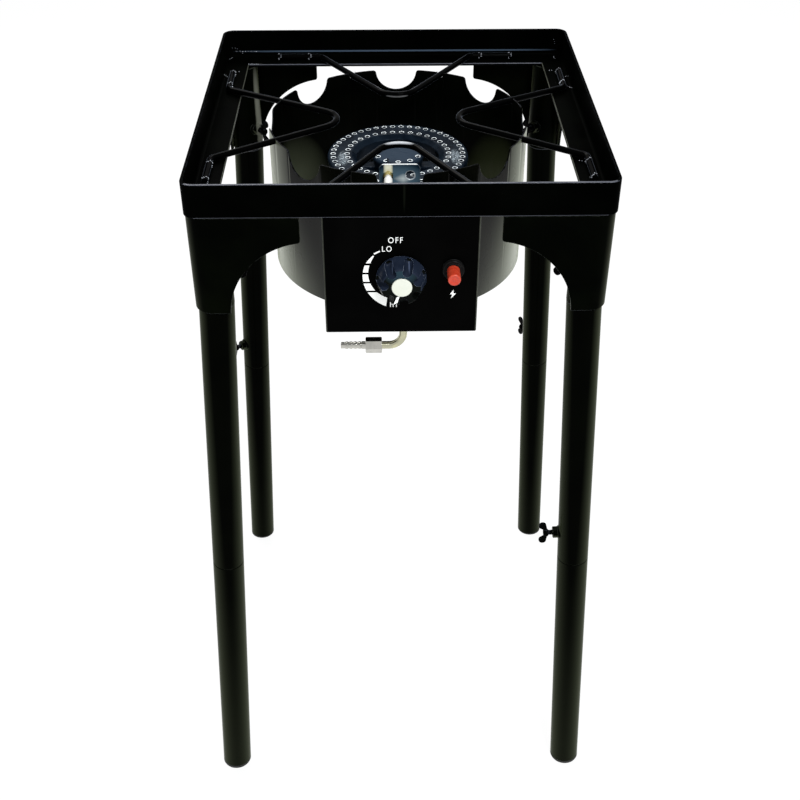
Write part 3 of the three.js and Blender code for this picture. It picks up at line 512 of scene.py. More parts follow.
def make_soft_patch():
    """A patch with soft borders round a place in millimetres; Power 2 gives an egg shape, a high one a block."""
    sizes = {"X": 0.0, "Y": 0.0, "Z": 0.0, "Wide": 10.0, "Deep": 10.0, "High": 10.0, "Power": 2.0}
    tree, given, out = effect("soft_patch", sizes, ["Mask"])
    axes = tree.nodes.new("ShaderNodeSeparateXYZ")
    link(tree, tree.nodes.new("ShaderNodeTexCoord").outputs["Object"], axes.inputs[0])
    total = 0
    for axis, reach in (("X", "Wide"), ("Y", "Deep"), ("Z", "High")):
        away = sum_of(tree, sum_of(tree, axes.outputs[axis], 1000, "MULTIPLY"), given.outputs[axis], "SUBTRACT")
        share = sum_of(tree, sum_of(tree, away, given.outputs[reach], "DIVIDE"), 0, "ABSOLUTE")
        total = sum_of(tree, sum_of(tree, share, given.outputs["Power"], "POWER"), total)
    link(tree, spread(tree, total, 1, 0), out.inputs["Mask"])
    return tree


EFFECTS = {
    "peel": make_orange_peel(),
    "smudges": make_smudges(),
    "edges": make_wear_and_edge_highlight(),
    "brushing": make_brushing(),
    "casting": make_casting(),
    "patch": make_soft_patch(),
}
print("effects:", sorted(EFFECTS))

# %% [markdown]
# ## Finishes: the recipe
# A finish here is a base tone that drifts into a second tone, a colour that shows on edges as wear and as a painted
# highlight, a range of roughness, and a relief. Steady values such as metal or specular level go straight on the
# shader.
# Two shortcuts in it are painted light in the colour. A painted sheen lightens a colour where the surface turns away
# from the eye, and a patch paints a soft mark at a fixed place, mostly a painted highlight or painted reflection. Both
# are tuned for the main view: true gloss comes from the shader and the lamps and moves with them, while a baked model
# loses or freezes what is mixed into the colour.

# %% The finish recipe
def place_effect(tree, key, **numbers):
    node = tree.nodes.new("ShaderNodeGroup")
    node.node_tree = EFFECTS[key]
    for title, value in numbers.items():
        node.inputs[title].default_value = value
    return node.outputs


def mixed(tree, factor, first, second):
    node = tree.nodes.new("ShaderNodeMix")
    node.data_type = "RGBA"
    link(tree, factor, node.inputs["Factor"])
    for socket, value in ((node.inputs[6], first), (node.inputs[7], second)):
        if isinstance(value, tuple):
            socket.default_value = (*value, 1)
        else:
            link(tree, value, socket)
    return node.outputs[2]


def painted_slant_sheen(tree, colour, start, power, gloss):
    """Mixes in a lighter colour where the surface turns away from the eye: a painted sheen, not the shader's gloss."""
    facing = tree.nodes.new("ShaderNodeLayerWeight").outputs["Facing"]
    turned_away = spread(tree, facing, start, 1)
    return mixed(tree, sum_of(tree, turned_away, power, "POWER"), colour, gloss)


def finish(name, tone, second, edge, rough, relief, depth, edge_amount=0.5, smudge_scale=14.0, specks=None,
           painted_sheen=None, patches=(), **steady):
    """A finish: tone to second tone by smudges, an edge colour, a roughness range and a relief of a depth in mm."""
    made = bpy.data.materials.new(name)
    made.use_nodes = True
    tree = made.node_tree
    shader = tree.nodes["Principled BSDF"]
    smudges = place_effect(tree, "smudges", Scale=smudge_scale)
    colour = mixed(tree, smudges["Mask"], tone, second)
    if specks:
        colour = mixed(tree, smudges["Specks"], colour, specks)
    # painted sheen: a lighter colour where the surface turns away from the eye
    if painted_sheen:
        colour = painted_slant_sheen(tree, colour, *painted_sheen)
    # each patch paints a tone at a fixed place: mostly a painted highlight or a painted reflection
    for shade, (x, y, z), (wide, deep, high), power, *grain in patches:
        mask = place_effect(tree, "patch", X=x, Y=y, Z=z, Wide=wide, Deep=deep, High=high, Power=power)["Mask"]
        if grain:
            mask = sum_of(tree, mask, spread(tree, noise(tree, grain[0], 3.0), 0.46, 0.62), "MULTIPLY")
        colour = mixed(tree, mask, colour, shade)
    # the edge colour is partly paint wear and partly a painted highlight along the edges
    wear_and_highlight = place_effect(tree, "edges", Amount=edge_amount)
    link(tree, mixed(tree, wear_and_highlight["Mask"], colour, edge), shader.inputs["Base Color"])
    link(tree, spread(tree, smudges["Mask"], 0, 1, *rough), shader.inputs["Roughness"])
    bump = tree.nodes.new("ShaderNodeBump")
    bump.inputs["Distance"].default_value = depth * MM
    link(tree, place_effect(tree, relief)["Height"], bump.inputs["Height"])
    link(tree, bump.outputs["Normal"], shader.inputs["Normal"])
    for title, value in steady.items():
        shader.inputs[title.replace("_", " ")].default_value = value
    return made


print("effects that a finish can place:", len(EFFECTS))

# %% [markdown]
# ## Finishes: enamels and iron
# Tones are in linear light, so 0.001 is nearly black. Each enamel has its own tone and grain. Some have patches, most
# of them painted highlights or painted reflections, and some a painted sheen.

# %% Enamels and iron
enamel = finish("black_enamel", (0.0004, 0.0005, 0.0004), (0.0011, 0.0014, 0.001), (0.16, 0.17, 0.22), (0.2, 0.34),
                "peel", 0.05, 0.7, specks=(0.01, 0.011, 0.01), Specular_IOR_Level=0.012)
# Frame enamel: the first patch is the faint weld seam in the middle of the front wall, the second a painted highlight
# line along the back wall just above the flange.
frame_enamel = finish("frame_enamel", (0.0003, 0.0004, 0.0003), (0.0009, 0.0012, 0.0008), (0.1, 0.11, 0.15),
                      (0.3, 0.45), "peel", 0.02, 0.5, specks=(0.006, 0.007, 0.006), Specular_IOR_Level=0.002,
                      patches=[((0.005, 0.006, 0.004), (2.6, -200, 806), (1.4, 3, 22), 2),
                               ((0.075, 0.11, 0.16), (0, 197, 790.6), (192, 3, 1.1), 6)])
# A lighter enamel laid on chosen edges as a painted highlight: the frame's front rim, flange edge and front lower edge,
# the stubs' lower rims and the panel's top edge.
edge_highlight_enamel = finish("edge_highlight_enamel", (0.05, 0.055, 0.072), (0.1, 0.106, 0.13), (0.12, 0.13, 0.16), (0.2, 0.3),
                    "peel", 0.02, 0.4, smudge_scale=30.0, Specular_IOR_Level=0.2)
# Gusset enamel: the slant mix is a painted sheen towards the edges, and the patch a painted highlight down the inside
# of the back-left stub.
gusset_enamel = finish("gusset_enamel", (0.0005, 0.0008, 0.0004), (0.0018, 0.0027, 0.001), (0.1, 0.11, 0.1),
                       (0.2, 0.32), "peel", 0.04, 0.6, painted_sheen=(0.36, 1.6, (0.09, 0.1, 0.06)), Specular_IOR_Level=0.006,
                       patches=[((0.17, 0.175, 0.14), (-164.5, 168, 722), (3.2, 12, 62), 3)])
# Rod enamel: the slant mix is a painted sheen along the rods' edges, and the patches are painted highlights on the tips
# of the front and back rods.
rod_enamel = finish("rod_enamel", (0.0003, 0.0004, 0.0004), (0.0009, 0.001, 0.001), (0.1, 0.11, 0.12), (0.1, 0.18),
                    "peel", 0.015, 0.3, painted_sheen=(0.62, 2.4, (0.24, 0.27, 0.32)), Specular_IOR_Level=0.012,
                    patches=[((0.6, 0.62, 0.66), (0, -66.5, 793.6), (19, 6, 1.5), 2),
                             ((0.3, 0.3, 0.3), (0, 62, 789), (30, 2.6, 1.7), 2)])
# The welds' light, spotty tone is painted glints on the beads.
weld_glints = finish("weld_glints", (0.1, 0.11, 0.13), (0.7, 0.73, 0.8), (0.5, 0.52, 0.56), (0.08, 0.18),
                     "peel", 0.05, 0.5, smudge_scale=220.0, Metallic=0.4, Specular_IOR_Level=0.4)
# Shield enamel: the slant mix is a painted sheen where the drum's wall turns away from the eye.
shield_enamel = finish("shield_enamel", (0.0008, 0.001, 0.0005), (0.004, 0.0045, 0.0022), (0.08, 0.085, 0.07),
                       (0.22, 0.34), "peel", 0.03, 0.6, painted_sheen=(0.4, 1.5, (0.55, 0.6, 0.43)), Specular_IOR_Level=0.13)
# Inner enamel: its two olive patches, low on the left and right of the inner wall, are painted reflections.
inner_enamel = finish("inner_enamel", (0.0005, 0.0007, 0.0004), (0.0012, 0.0016, 0.0009), (0.05, 0.055, 0.05),
                      (0.3, 0.45), "peel", 0.03, 0.4, Specular_IOR_Level=0.012,
                      patches=[((0.06, 0.068, 0.042), (-112, 52, 672), (58, 70, 74), 2),
                               ((0.035, 0.042, 0.018), (112, 52, 672), (58, 70, 74), 2)])
# Leg enamel: the slant mix is a painted sheen along the tubes' edges.
leg_enamel = finish("leg_enamel", (0.0004, 0.0006, 0.0003), (0.001, 0.0014, 0.0006), (0.09, 0.095, 0.085), (0.14, 0.24),
                    "peel", 0.03, 0.4, painted_sheen=(0.27, 1.2, (0.09, 0.104, 0.06)), Specular_IOR_Level=0.008)
panel_paint = finish("panel_paint", (0.0006, 0.0006, 0.0006), (0.0014, 0.0014, 0.0013), (0.3, 0.32, 0.4),
                     (0.34, 0.46), "peel", 0.025, 0.9, Specular_IOR_Level=0.01)
# Burner iron: the first patch gives the hub's flat top a lighter navy; the other two, broken into specks, are painted
# glints on the ring's left and right.
burner_iron = finish("burner_iron", (0.0022, 0.0052, 0.01), (0.009, 0.016, 0.026), (0.14, 0.18, 0.24), (0.26, 0.42),
                     "casting", 0.04, 0.4, smudge_scale=34.0, Metallic=0.1, Specular_IOR_Level=0.02,
                     patches=[((0.02, 0.034, 0.055), (0, 0, 752), (26, 26, 4), 6),
                              ((0.5, 0.58, 0.64), (-58, -12, 751), (6.5, 20, 5), 2, 900),
                              ((0.46, 0.54, 0.6), (61, -9, 751), (6.5, 20, 5), 2, 900)])
cut_iron = finish("cut_iron", (0.72, 0.77, 0.8), (0.5, 0.56, 0.6), (0.95, 0.95, 0.95), (0.3, 0.45),
                  "brushing", 0.01, 0.2, smudge_scale=90.0, Metallic=0.3)
print("enamels and iron:", len([item for item in bpy.data.materials if item.use_nodes]) - 1)

# %% [markdown]
# ## Finishes: metals, plastics and print
# Metals get fine brushing instead of orange peel. The print glows a little, so that it stays white in the shade.

# %% Metals, plastics and print
bright_steel = finish("bright_steel", (0.5, 0.57, 0.64), (0.34, 0.4, 0.47), (0.9, 0.92, 0.95), (0.2, 0.34),
                      "brushing", 0.01, 0.9, smudge_scale=40.0, Metallic=1.0)
# Plate steel: all four patches are painted light: a blue-grey painted reflection over its middle, a bright painted glow
# low in the middle, a yellow painted reflection above the ceramic and a painted highlight along the top edge.
plate_steel = finish("plate_steel", (0.004, 0.014, 0.028), (0.012, 0.034, 0.056), (0.85, 0.9, 0.95), (0.12, 0.22),
                     "brushing", 0.005, 0.6, smudge_scale=40.0, Metallic=0.2, Specular_IOR_Level=0.1,
                     patches=[((0.14, 0.24, 0.32), (0, -111, 775), (27, 30, 18), 2),
                              ((0.9, 1, 1), (3.5, -111, 776.5), (10, 30, 6), 1.2),
                              ((1, 1, 0.8), (-11.2, -111, 785), (4.7, 30, 11), 4),
                              ((0.95, 0.98, 1), (0, -111, 792), (30, 30, 0.9), 6)])
zinc = finish("yellow_zinc", (0.62, 0.6, 0.38), (0.44, 0.44, 0.36), (0.8, 0.8, 0.7), (0.18, 0.3),
              "brushing", 0.01, 0.5, smudge_scale=60.0, Metallic=0.95)
nickel = finish("nickel", (0.55, 0.54, 0.5), (0.4, 0.4, 0.37), (0.85, 0.85, 0.82), (0.16, 0.28),
                "brushing", 0.01, 0.7, smudge_scale=60.0, Metallic=1.0)
brass = finish("brass", (0.66, 0.56, 0.24), (0.46, 0.38, 0.14), (0.9, 0.82, 0.5), (0.2, 0.34),
               "brushing", 0.01, 0.6, smudge_scale=60.0, Metallic=1.0)
porcelain = finish("porcelain", (0.86, 0.86, 0.83), (0.78, 0.77, 0.72), (0.9, 0.9, 0.88), (0.12, 0.24),
                   "peel", 0.02, 0.3, smudge_scale=80.0)
# Navy plastic: the two thin patches are painted highlights, light streaks in the upper grooves.
navy_plastic = finish("navy_plastic", (0.012, 0.018, 0.034), (0.02, 0.028, 0.05), (0.3, 0.34, 0.42), (0.2, 0.32),
                      "peel", 0.01, 1.0, smudge_scale=60.0, Specular_IOR_Level=0.06,
                      patches=[((0.09, 0.12, 0.2), (-8.4, -208, 733.5), (0.9, 12, 6), 2),
                               ((0.09, 0.12, 0.2), (7.2, -208, 734.5), (0.9, 12, 6), 2)])
# A darker plastic, a painted shade, for the knob's front face, its downward faces and its lower half. Its patch is
# painted light on the upper part of the face.
knob_shade = finish("knob_shade", (0.0022, 0.003, 0.0026), (0.004, 0.0055, 0.004), (0.1, 0.12, 0.15), (0.25, 0.38),
                   "peel", 0.01, 0.3, smudge_scale=60.0, Specular_IOR_Level=0.03,
                   patches=[((0.024, 0.05, 0.07), (0, -216, 731), (18, 8, 13), 2)])
# A lighter plastic on the rounded rims of the grooves: a painted highlight.
knob_rim_highlight = finish("knob_rim_highlight", (0.36, 0.44, 0.58), (0.52, 0.6, 0.74), (0.4, 0.45, 0.52), (0.15, 0.25),
                  "peel", 0.01, 0.5, smudge_scale=90.0, Specular_IOR_Level=0.2)
# A dim lighter enamel, a painted highlight, on the frame's side flange edges and the panel's rounded front corners.
dim_edge_highlight = finish("dim_edge_highlight", (0.045, 0.048, 0.038), (0.07, 0.074, 0.058), (0.08, 0.08, 0.08), (0.2, 0.3),
                  "peel", 0.01, 0.5, smudge_scale=90.0, Specular_IOR_Level=0.03)
cream_plastic = finish("cream_plastic", (0.96, 0.98, 0.86), (0.93, 0.95, 0.82), (0.97, 0.98, 0.9), (0.3, 0.42),
                       "peel", 0.01, 0.3, smudge_scale=60.0)
dark_plastic = finish("dark_plastic", (0.003, 0.003, 0.003), (0.008, 0.008, 0.008), (0.09, 0.09, 0.09), (0.26, 0.4),
                      "peel", 0.02, 0.5, smudge_scale=60.0, Specular_IOR_Level=0.05)
red_plastic = finish("red_plastic", (0.66, 0.05, 0.02), (0.78, 0.085, 0.035), (0.86, 0.2, 0.11), (0.26, 0.4),
                     "peel", 0.02, 0.5, smudge_scale=130.0)
print_ink = finish("print_ink", (0.97, 0.98, 0.96), (0.93, 0.95, 0.92), (0.97, 0.98, 0.96), (0.4, 0.55),
                   "peel", 0.01, 0.1, smudge_scale=60.0, Emission_Color=(1, 1, 0.98, 1), Emission_Strength=0.3)
foot_rubber = finish("foot_rubber", (0.006, 0.006, 0.006), (0.012, 0.012, 0.011), (0.03, 0.03, 0.03), (0.6, 0.8),
                     "casting", 0.05, 0.6, smudge_scale=40.0)
print("finishes:", len([item for item in bpy.data.materials if item.use_nodes]) - 1)

# %% [markdown]
# ## Dressing a piece
# Each piece gets a finish, the body it moves with and the imported nodes it stands for. Some of its faces may then
# get another finish.

# %% Dressing a piece
def dress(piece, material, body="stove", stands_for=()):
    """Gives a piece its finish, unless it has its own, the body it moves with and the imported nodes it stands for."""
    if material:
        piece.data.materials.clear()
        piece.data.materials.append(material)
    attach(piece, body)
    if stands_for:
        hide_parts(*stands_for)
    return piece


def repaint(piece, material, test):
    """Gives the faces whose middle, in millimetres, and normal pass the test another finish."""
    piece.data.materials.append(material)
    for face in piece.data.polygons:
        if test(face.center / MM, face.normal):
            face.material_index = len(piece.data.materials) - 1


# %% [markdown]
# ## Top frame
# The frame is one square of angle bar, bent so that its corners are round outside, with the flange turned in at the
# bottom. It could be swept along a path, but pressing it out of one plate is simpler: a square with rounded corners
# is raised to the full height, a cavity is inset and sunk to the flange, and the middle is cut away.

# %% Top frame
FRAME_TOP, FRAME_LOW, FRAME_HALF = 815, 781.5, 200
FRAME_SHEET, FRAME_CORNER, FRAME_FILLET = 3, 12, 3.5
OPENING_HALF = 171
FLANGE_EDGE = OPENING_HALF + 0.3
FLANGE_TOP = FRAME_LOW + FRAME_SHEET


def make_frame():
    bpy.ops.object.select_all(action="DESELECT")
    bpy.ops.mesh.primitive_plane_add(size=2 * FRAME_HALF * MM, location=(0, 0, 0))
    piece = bpy.context.object
    piece.name = "angle_frame"
    edit(piece, "VERT")
    bpy.ops.transform.translate(value=(0, 0, FRAME_LOW * MM))
    bpy.ops.mesh.bevel(offset=FRAME_CORNER * MM, segments=12, affect="VERTICES")
    bpy.ops.mesh.select_mode(type="FACE")
    bpy.ops.mesh.select_all(action="SELECT")
    bpy.ops.mesh.extrude_region_move(TRANSFORM_OT_translate={"value": (0, 0, (FRAME_TOP - FRAME_LOW) * MM)})
    bpy.ops.mesh.inset(thickness=FRAME_SHEET * MM)
    bpy.ops.mesh.extrude_region_move(TRANSFORM_OT_translate={"value": (0, 0, (FLANGE_TOP - FRAME_TOP) * MM)})
    pick("edges", lambda middle, way: abs(middle.z - FLANGE_TOP) < 0.01)
    bpy.ops.mesh.bevel(offset=FRAME_FILLET * MM, segments=6, affect="EDGES")
    bpy.ops.mesh.select_all(action="SELECT")
    close_edit()
    carve(piece, box("opening", (-OPENING_HALF, -OPENING_HALF, 700), (OPENING_HALF, OPENING_HALF, 800)))
    return soften(piece, 0.8, 3)


def caught_light(middle, way):
    """The frame's edges that get a painted highlight: front rim, flange edge, front lower edge."""
    front_rim = middle.y < -196.6 and way.z > 0.5 and middle.z > 814
    flange_edge = abs(middle.y - FLANGE_EDGE) < 0.7 and middle.z > 783.6 and 0.15 < way.z < 0.97
    lower_edge = middle.y < -199 and middle.z < 782.4 and -0.95 < way.z < -0.2 and abs(middle.x) < 190
    return front_rim or flange_edge or lower_edge


top_frame = dress(make_frame(), frame_enamel, stands_for=["top_frame"])
repaint(top_frame, edge_highlight_enamel, caught_light)
# the flange's left and right inner edges get a dimmer painted highlight
repaint(top_frame, dim_edge_highlight, lambda middle, way: abs(abs(middle.x) - FLANGE_EDGE) < 0.7 and middle.z > 783.6 and
        0.15 < way.z < 0.97 and abs(middle.y) < OPENING_HALF)
print("frame corners:", len(top_frame.data.vertices))

# %% [markdown]
# ## Pot supports
# Each support is one rod: welded to the flange at both ends, bent in towards the middle as a V, with a round tip. Only
# one is made, as a path of straight runs and true bends, and the other three are copies a quarter turn apart.

# %% Pot supports
ROD_RADIUS = 3.25
ROD_RUN, ROD_RUN_HALF, ROD_SPREAD_HALF = 186, 137, 87.5
ROD_TIP_REACH, ROD_TIP_BEND = 64, 23
ROD_BEND, ROD_RISE = 9, 2.5
ROD_SEAT = FLANGE_TOP + 0.3 + ROD_RADIUS
TIP_CENTRE = ROD_TIP_REACH + ROD_TIP_BEND
ROD_LEAN = math.atan2(ROD_SPREAD_HALF, ROD_RUN - TIP_CENTRE) - math.asin(
    ROD_TIP_BEND / math.hypot(ROD_RUN - TIP_CENTRE, ROD_SPREAD_HALF))


def rod_level(reach):
    return ROD_SEAT + ROD_RISE * (ROD_RUN - reach) / (ROD_RUN - ROD_TIP_REACH)


def rod_path():
    end = Vector((ROD_RUN, ROD_RUN_HALF, ROD_SEAT))
    corner = Vector((ROD_RUN, ROD_SPREAD_HALF, ROD_SEAT))
    lean = math.degrees(ROD_LEAN)
    tip = [Vector((x, y, rod_level(x))) for x, y in arc(TIP_CENTRE, 0, ROD_TIP_BEND, 90 + lean, 270 - lean, 28)]
    half = [end, *bend(end, corner, tip[0], ROD_BEND, 10)]
    return half + tip + [Vector((p.x, -p.y, p.z)) for p in reversed(half)]


first_support = soften(bar("pot_rod", rod_path(), ROD_RADIUS, 8), 0.5, 2, angle=60, smooth=50)
for count, side in enumerate(("right", "back", "left", "front")):
    support = settle(twin(first_support, "pot_rod_" + side), quarter(count))
    dress(support, rod_enamel, stands_for=["pot_support_" + side])
bpy.data.objects.remove(first_support)
print("rod lean in degrees:", round(math.degrees(ROD_LEAN), 2))

# %% [markdown]
# ## Welds
# Short beads lie round each rod end, and loose runs of weld in the frame's back corners and on its flange. A bead is a
# row of drops that froze over each other, so one flattened drop is copied along a line with a little chance in size
# and place.

# %% Welds
chance = random.Random(7)


def weld_bead(name, start, end, width, count):
    drops = []
    for number in range(count):
        share = number / max(count - 1, 1)
        spot = Vector(start).lerp(Vector(end), share)
        bpy.ops.object.select_all(action="DESELECT")
        bpy.ops.mesh.primitive_ico_sphere_add(subdivisions=2, radius=0.5 * MM, location=(0, 0, 0))
        drop = bpy.context.object
        wide = width * chance.uniform(0.8, 1.25)
        drop.scale = (wide, wide * chance.uniform(0.75, 1), wide * chance.uniform(0.35, 0.55))
        drop.rotation_euler = (0, 0, chance.uniform(0, 3))
        jitter = Vector((chance.uniform(-0.4, 0.4), chance.uniform(-0.4, 0.4), 0))
        drops.append(settle(drop, Matrix.Translation((spot + jitter) * MM)))
    return weld(name, *drops)


# loose runs of weld on the frame: start, end, width and number of drops
WELD_RUNS = [
    ((-194, 196, 796), (-186, 196.4, 794), 3.4, 4), ((-186, 196.4, 794), (-180, 196, 789), 3, 3),
    ((-196, 185, 785), (-192, 191, 785.5), 3.4, 4), ((-183, 147, 785), (-180, 147.5, 785), 3.4, 2),
    ((-197, 138.5, 786), (-192, 133, 785), 3, 4), ((-171, 172.4, 784.6), (-160, 171.8, 784.6), 2.2, 9),
    ((-188, 196.4, 791), (-160, 196.4, 790.6), 2.4, 16), ((-187, -83, 785), (-186, -92, 785), 3, 3),
    ((-188, -127, 785), (-184, -125, 785), 3, 3), ((187, 196.4, 803), (188, 196.4, 798), 4.4, 3),
    ((187, 190, 785), (188, 183, 785), 4.2, 4), ((177, 145.5, 785), (180, 146, 785), 3.4, 2),
    ((193, 127.5, 785), (196, 126.5, 785.5), 3.6, 3), ((192, 99, 785), (197, 91, 785), 3, 6),
    ((178, -92, 785), (180, -93, 785), 3.2, 2), ((183, -130, 785), (186, -129, 785), 3.4, 3),
]


def make_welds():
    beads = [weld_bead("bead", *run) for run in WELD_RUNS]
    for count in range(4):
        for sign in (1, -1):
            for along in (ROD_RUN_HALF - 2, ROD_RUN_HALF - 37):
                for number, (x, z) in enumerate(arc(ROD_RUN, ROD_SEAT, ROD_RADIUS + 0.2, 60, 225, 6)):
                    place = (x, sign * along + (1.6 if number in (0, 1, 5, 6) else -1), z)
                    beads.append(settle(weld_bead("bead", place, place, 3.6, 3), quarter(count)))
    piece = weld("frame_welds", *beads)
    only(piece)
    bpy.ops.object.shade_smooth()
    return piece


frame_welds = dress(make_welds(), weld_glints)
print("weld faces:", len(frame_welds.data.polygons))

# %% [markdown]
# ## Wind shield
# The shield is a strip of sheet rolled to a drum. Eight scallops let air in under the pot, and eight narrow slots drop
# over the rods. The wall is a grid stood on edge: its columns follow the circle and its top row follows the outline of
# scallops and slots, so the rim is one clean edge that takes its thickness and its rounding without a cut.

# %% Wind shield
DRUM_RADIUS, DRUM_SHEET = 135, 1.5
DRUM_LOW, DRUM_TOP = 637, 791.7
NOTCH_RADIUS, NOTCH_FILLET = 22.9, 3.6
SLOT_HALF = ROD_RADIUS + 0.1
VALVE_Z, GAS_HOLE = 716.5, 13


def rod_crossing():
    """Where a rod's straight run crosses the drum's wall."""
    slope = math.tan(ROD_LEAN)
    apex = ROD_RUN - ROD_SPREAD_HALF / slope
    square = 1 + slope * slope
    linear = slope * slope * apex
    reach = (linear + math.sqrt(linear**2 - square * ((slope * apex) ** 2 - DRUM_RADIUS**2))) / square
    return reach, slope * (reach - apex)


def scallop():
    """(sideways, up) points of one scallop, from left to right."""
    reach = NOTCH_RADIUS + NOTCH_FILLET
    side = math.sqrt(reach**2 - NOTCH_FILLET**2)
    dip = math.degrees(math.asin(NOTCH_FILLET / reach))
    left = arc(-side, -NOTCH_FILLET, NOTCH_FILLET, 90, dip, 6)
    bowl = arc(0, 0, NOTCH_RADIUS, 180 + dip, 360 - dip, 30)
    right = arc(side, -NOTCH_FILLET, NOTCH_FILLET, 180 - dip, 90, 6)
    return left + bowl[1:-1] + right


def slot(level):
    low = level - DRUM_TOP
    round_end = arc(0, low, SLOT_HALF, 180, 360, 12)
    return [(-SLOT_HALF - 0.5, 0), (-SLOT_HALF - 0.12, -0.4), *round_end, (SLOT_HALF + 0.12, -0.4),
            (SLOT_HALF + 0.5, 0)]


def drum_stations():
    reach, spread_half = rod_crossing()
    crossing = math.degrees(math.atan2(spread_half, reach))
    features = []
    for count in range(4):
        features.append((90 * count, scallop()))
        features.append((90 * count + crossing, slot(rod_level(reach))))
        features.append((90 * count + 45, scallop()))
        features.append((90 * count + 90 - crossing, slot(rod_level(reach))))
    stations = []
    for number, (middle, outline) in enumerate(features):
        places = [(middle + math.degrees(math.asin(side / DRUM_RADIUS)), up) for side, up in outline]
        following = features[(number + 1) % len(features)]
        start = following[0] + math.degrees(math.asin(following[1][0][0] / DRUM_RADIUS))
        start += 360 if start < places[-1][0] - 90 else 0
        gap = start - places[-1][0]
        steps = math.ceil(gap / 1.1)
        places += [(places[-1][0] + gap * step / steps, 0) for step in range(1, steps)]
        stations += places
    stations.append((stations[0][0] + 360, stations[0][1]))
    return [(DRUM_RADIUS * math.cos(math.radians(turn)), DRUM_RADIUS * math.sin(math.radians(turn)), DRUM_LOW,
             DRUM_TOP + up) for turn, up in stations]


def make_shield():
    piece = sheet("wind_drum", drum_stations(), DRUM_SHEET, closed=True)
    apply_modifier(piece, "BEVEL", width=0.4 * MM, segments=2, limit_method="ANGLE", angle_limit=math.radians(50))
    hole = turned("hole", [(GAS_HOLE, 90), (GAS_HOLE, 160)], 48)
    settle(hole, at(0, 0, VALVE_Z) @ FACING_FRONT)
    carve(piece, hole)
    only(piece)
    bpy.ops.object.shade_smooth_by_angle(angle=math.radians(30))
    return piece


def outwards(middle, way):
    """How far a face of the drum looks away from the drum's axis."""
    return Vector((middle.x, middle.y, 0)).normalized().dot(way)


wind_shield = dress(make_shield(), shield_enamel, stands_for=["wind_shield"])
repaint(wind_shield, inner_enamel, lambda middle, way: outwards(middle, way) < -0.6)
repaint(wind_shield, enamel, lambda middle, way: abs(outwards(middle, way)) <= 0.6 and middle.z > 700)
print("drum faces:", len(wind_shield.data.polygons))

# %% [markdown]
# ## Burner
# The burner is an iron casting: a ring with two rows of ports, a hub with one row, four arms, and two feet. The ring
# and hub are turned, the arms are softened blocks, and a union makes them one. Every port is one cutter, a drill with a
# countersink, copied round the rows. The countersinks are fresh-cut metal and shine.

# %% Burner
RING_TOP, HUB_TOP = 751.5, 752.4
PORT_RADIUS, PORT_SINK, PORT_SLOPE = 2.15, 2.95, 0.06
PORT_ROWS = ((69, 46, RING_TOP), (54.2, 34, RING_TOP), (23, 11, HUB_TOP))


def port_places():
    places = []
    for radius, count, level in PORT_ROWS:
        for number in range(count):
            turn = math.radians(-90 + 360 * (number + (0 if count % 2 else 0.5)) / count)
            places.append((radius * math.cos(turn), radius * math.sin(turn), level))
    return places


def make_burner():
    ring = turned("ring", [(47, 729.5), (72.5, 729.5), (75.2, 748.2), (74.6, 750.4), (73, RING_TOP), (49.5, RING_TOP),
                           (44, 747.4), (47, 729.5)], 128, ring=True)
    soften(ring, 0.5, 2, angle=20)
    hub = turned("hub", [(22, 698), (24, 700), (24, 732.4), (27.8, 748.8), (27.4, 750.6), (25.5, HUB_TOP)], 96)
    soften(hub, 0.5, 2, angle=20)
    arms = [box("arm", (-56, -7.5, 727.9), (56, 7.5, 739)), box("arm", (-7.5, -56, 727.9), (7.5, 56, 739))]
    for arm in arms:
        soften(arm, 2, 3)
    posts = [turned("post", [(8, 683.3), (8, 738)], 40) for _ in range(2)]
    for post, x in zip(posts, (-56, 56)):
        settle(post, at(x, 0, 0))
    for part in (hub, *arms, *posts):
        carve(ring, part, "UNION")
    return ring


def port_cutters():
    drill = turned("drill", [(PORT_RADIUS, -8), (PORT_RADIUS, -PORT_SLOPE), (PORT_SINK, 0.01), (PORT_SINK, 1)], 20)
    copies = [settle(twin(drill, "port"), at(*place)) for place in port_places()]
    bpy.data.objects.remove(drill)
    return weld("ports", *copies)


def make_ports(piece):
    carve(piece, port_cutters())
    places = [Vector(place[:2]) for place in port_places()]
    for face in piece.data.polygons:
        spot = face.center / MM
        near = min((place - spot.xy).length for place in places)
        if near < PORT_SINK and 0.5 < face.normal.z < 0.9985 and spot.z > 750:
            face.material_index = 1
    only(piece)
    bpy.ops.object.shade_smooth_by_angle(angle=math.radians(4))
    return apply_modifier(piece, "WEIGHTED_NORMAL", keep_sharp=True)


burner = make_burner()
burner.name = "burner_casting"
dress(burner, burner_iron, stands_for=["burner"])
burner.data.materials.append(cut_iron)
make_ports(burner)
print("ports:", len(port_places()), "bright faces:", sum(face.material_index for face in burner.data.polygons))

# %% [markdown]
# ## Igniter plate and electrode
# A bright plate stands behind the front scallop. It carries the electrode, a white ceramic rod in a brass nut whose
# wire points at the ring, and has a sight hole beside it. The plate is a flat outline with two drilled holes; its foot
# turns out to the drum.

# %% Igniter plate
PLATE_HALF, PLATE_BACK, PLATE_FRONT = 20, 110, 111.5
PLATE_LOW, FOOT_TOP, TAB_LOW = 736, 737.5, 728.5
FOOT_RADIUS = 133.2
ELECTRODE_X, ELECTRODE_Z = -11.2, 780
SIGHT_HOLE_X, SIGHT_HOLE_RADIUS = 10.3, 4.4


def drill_through(piece, x, z, radius, sides=48):
    hole = turned("hole", [(radius, PLATE_BACK - 5), (radius, PLATE_FRONT + 5)], sides)
    return carve(piece, settle(hole, at(x, 0, z) @ FACING_FRONT))


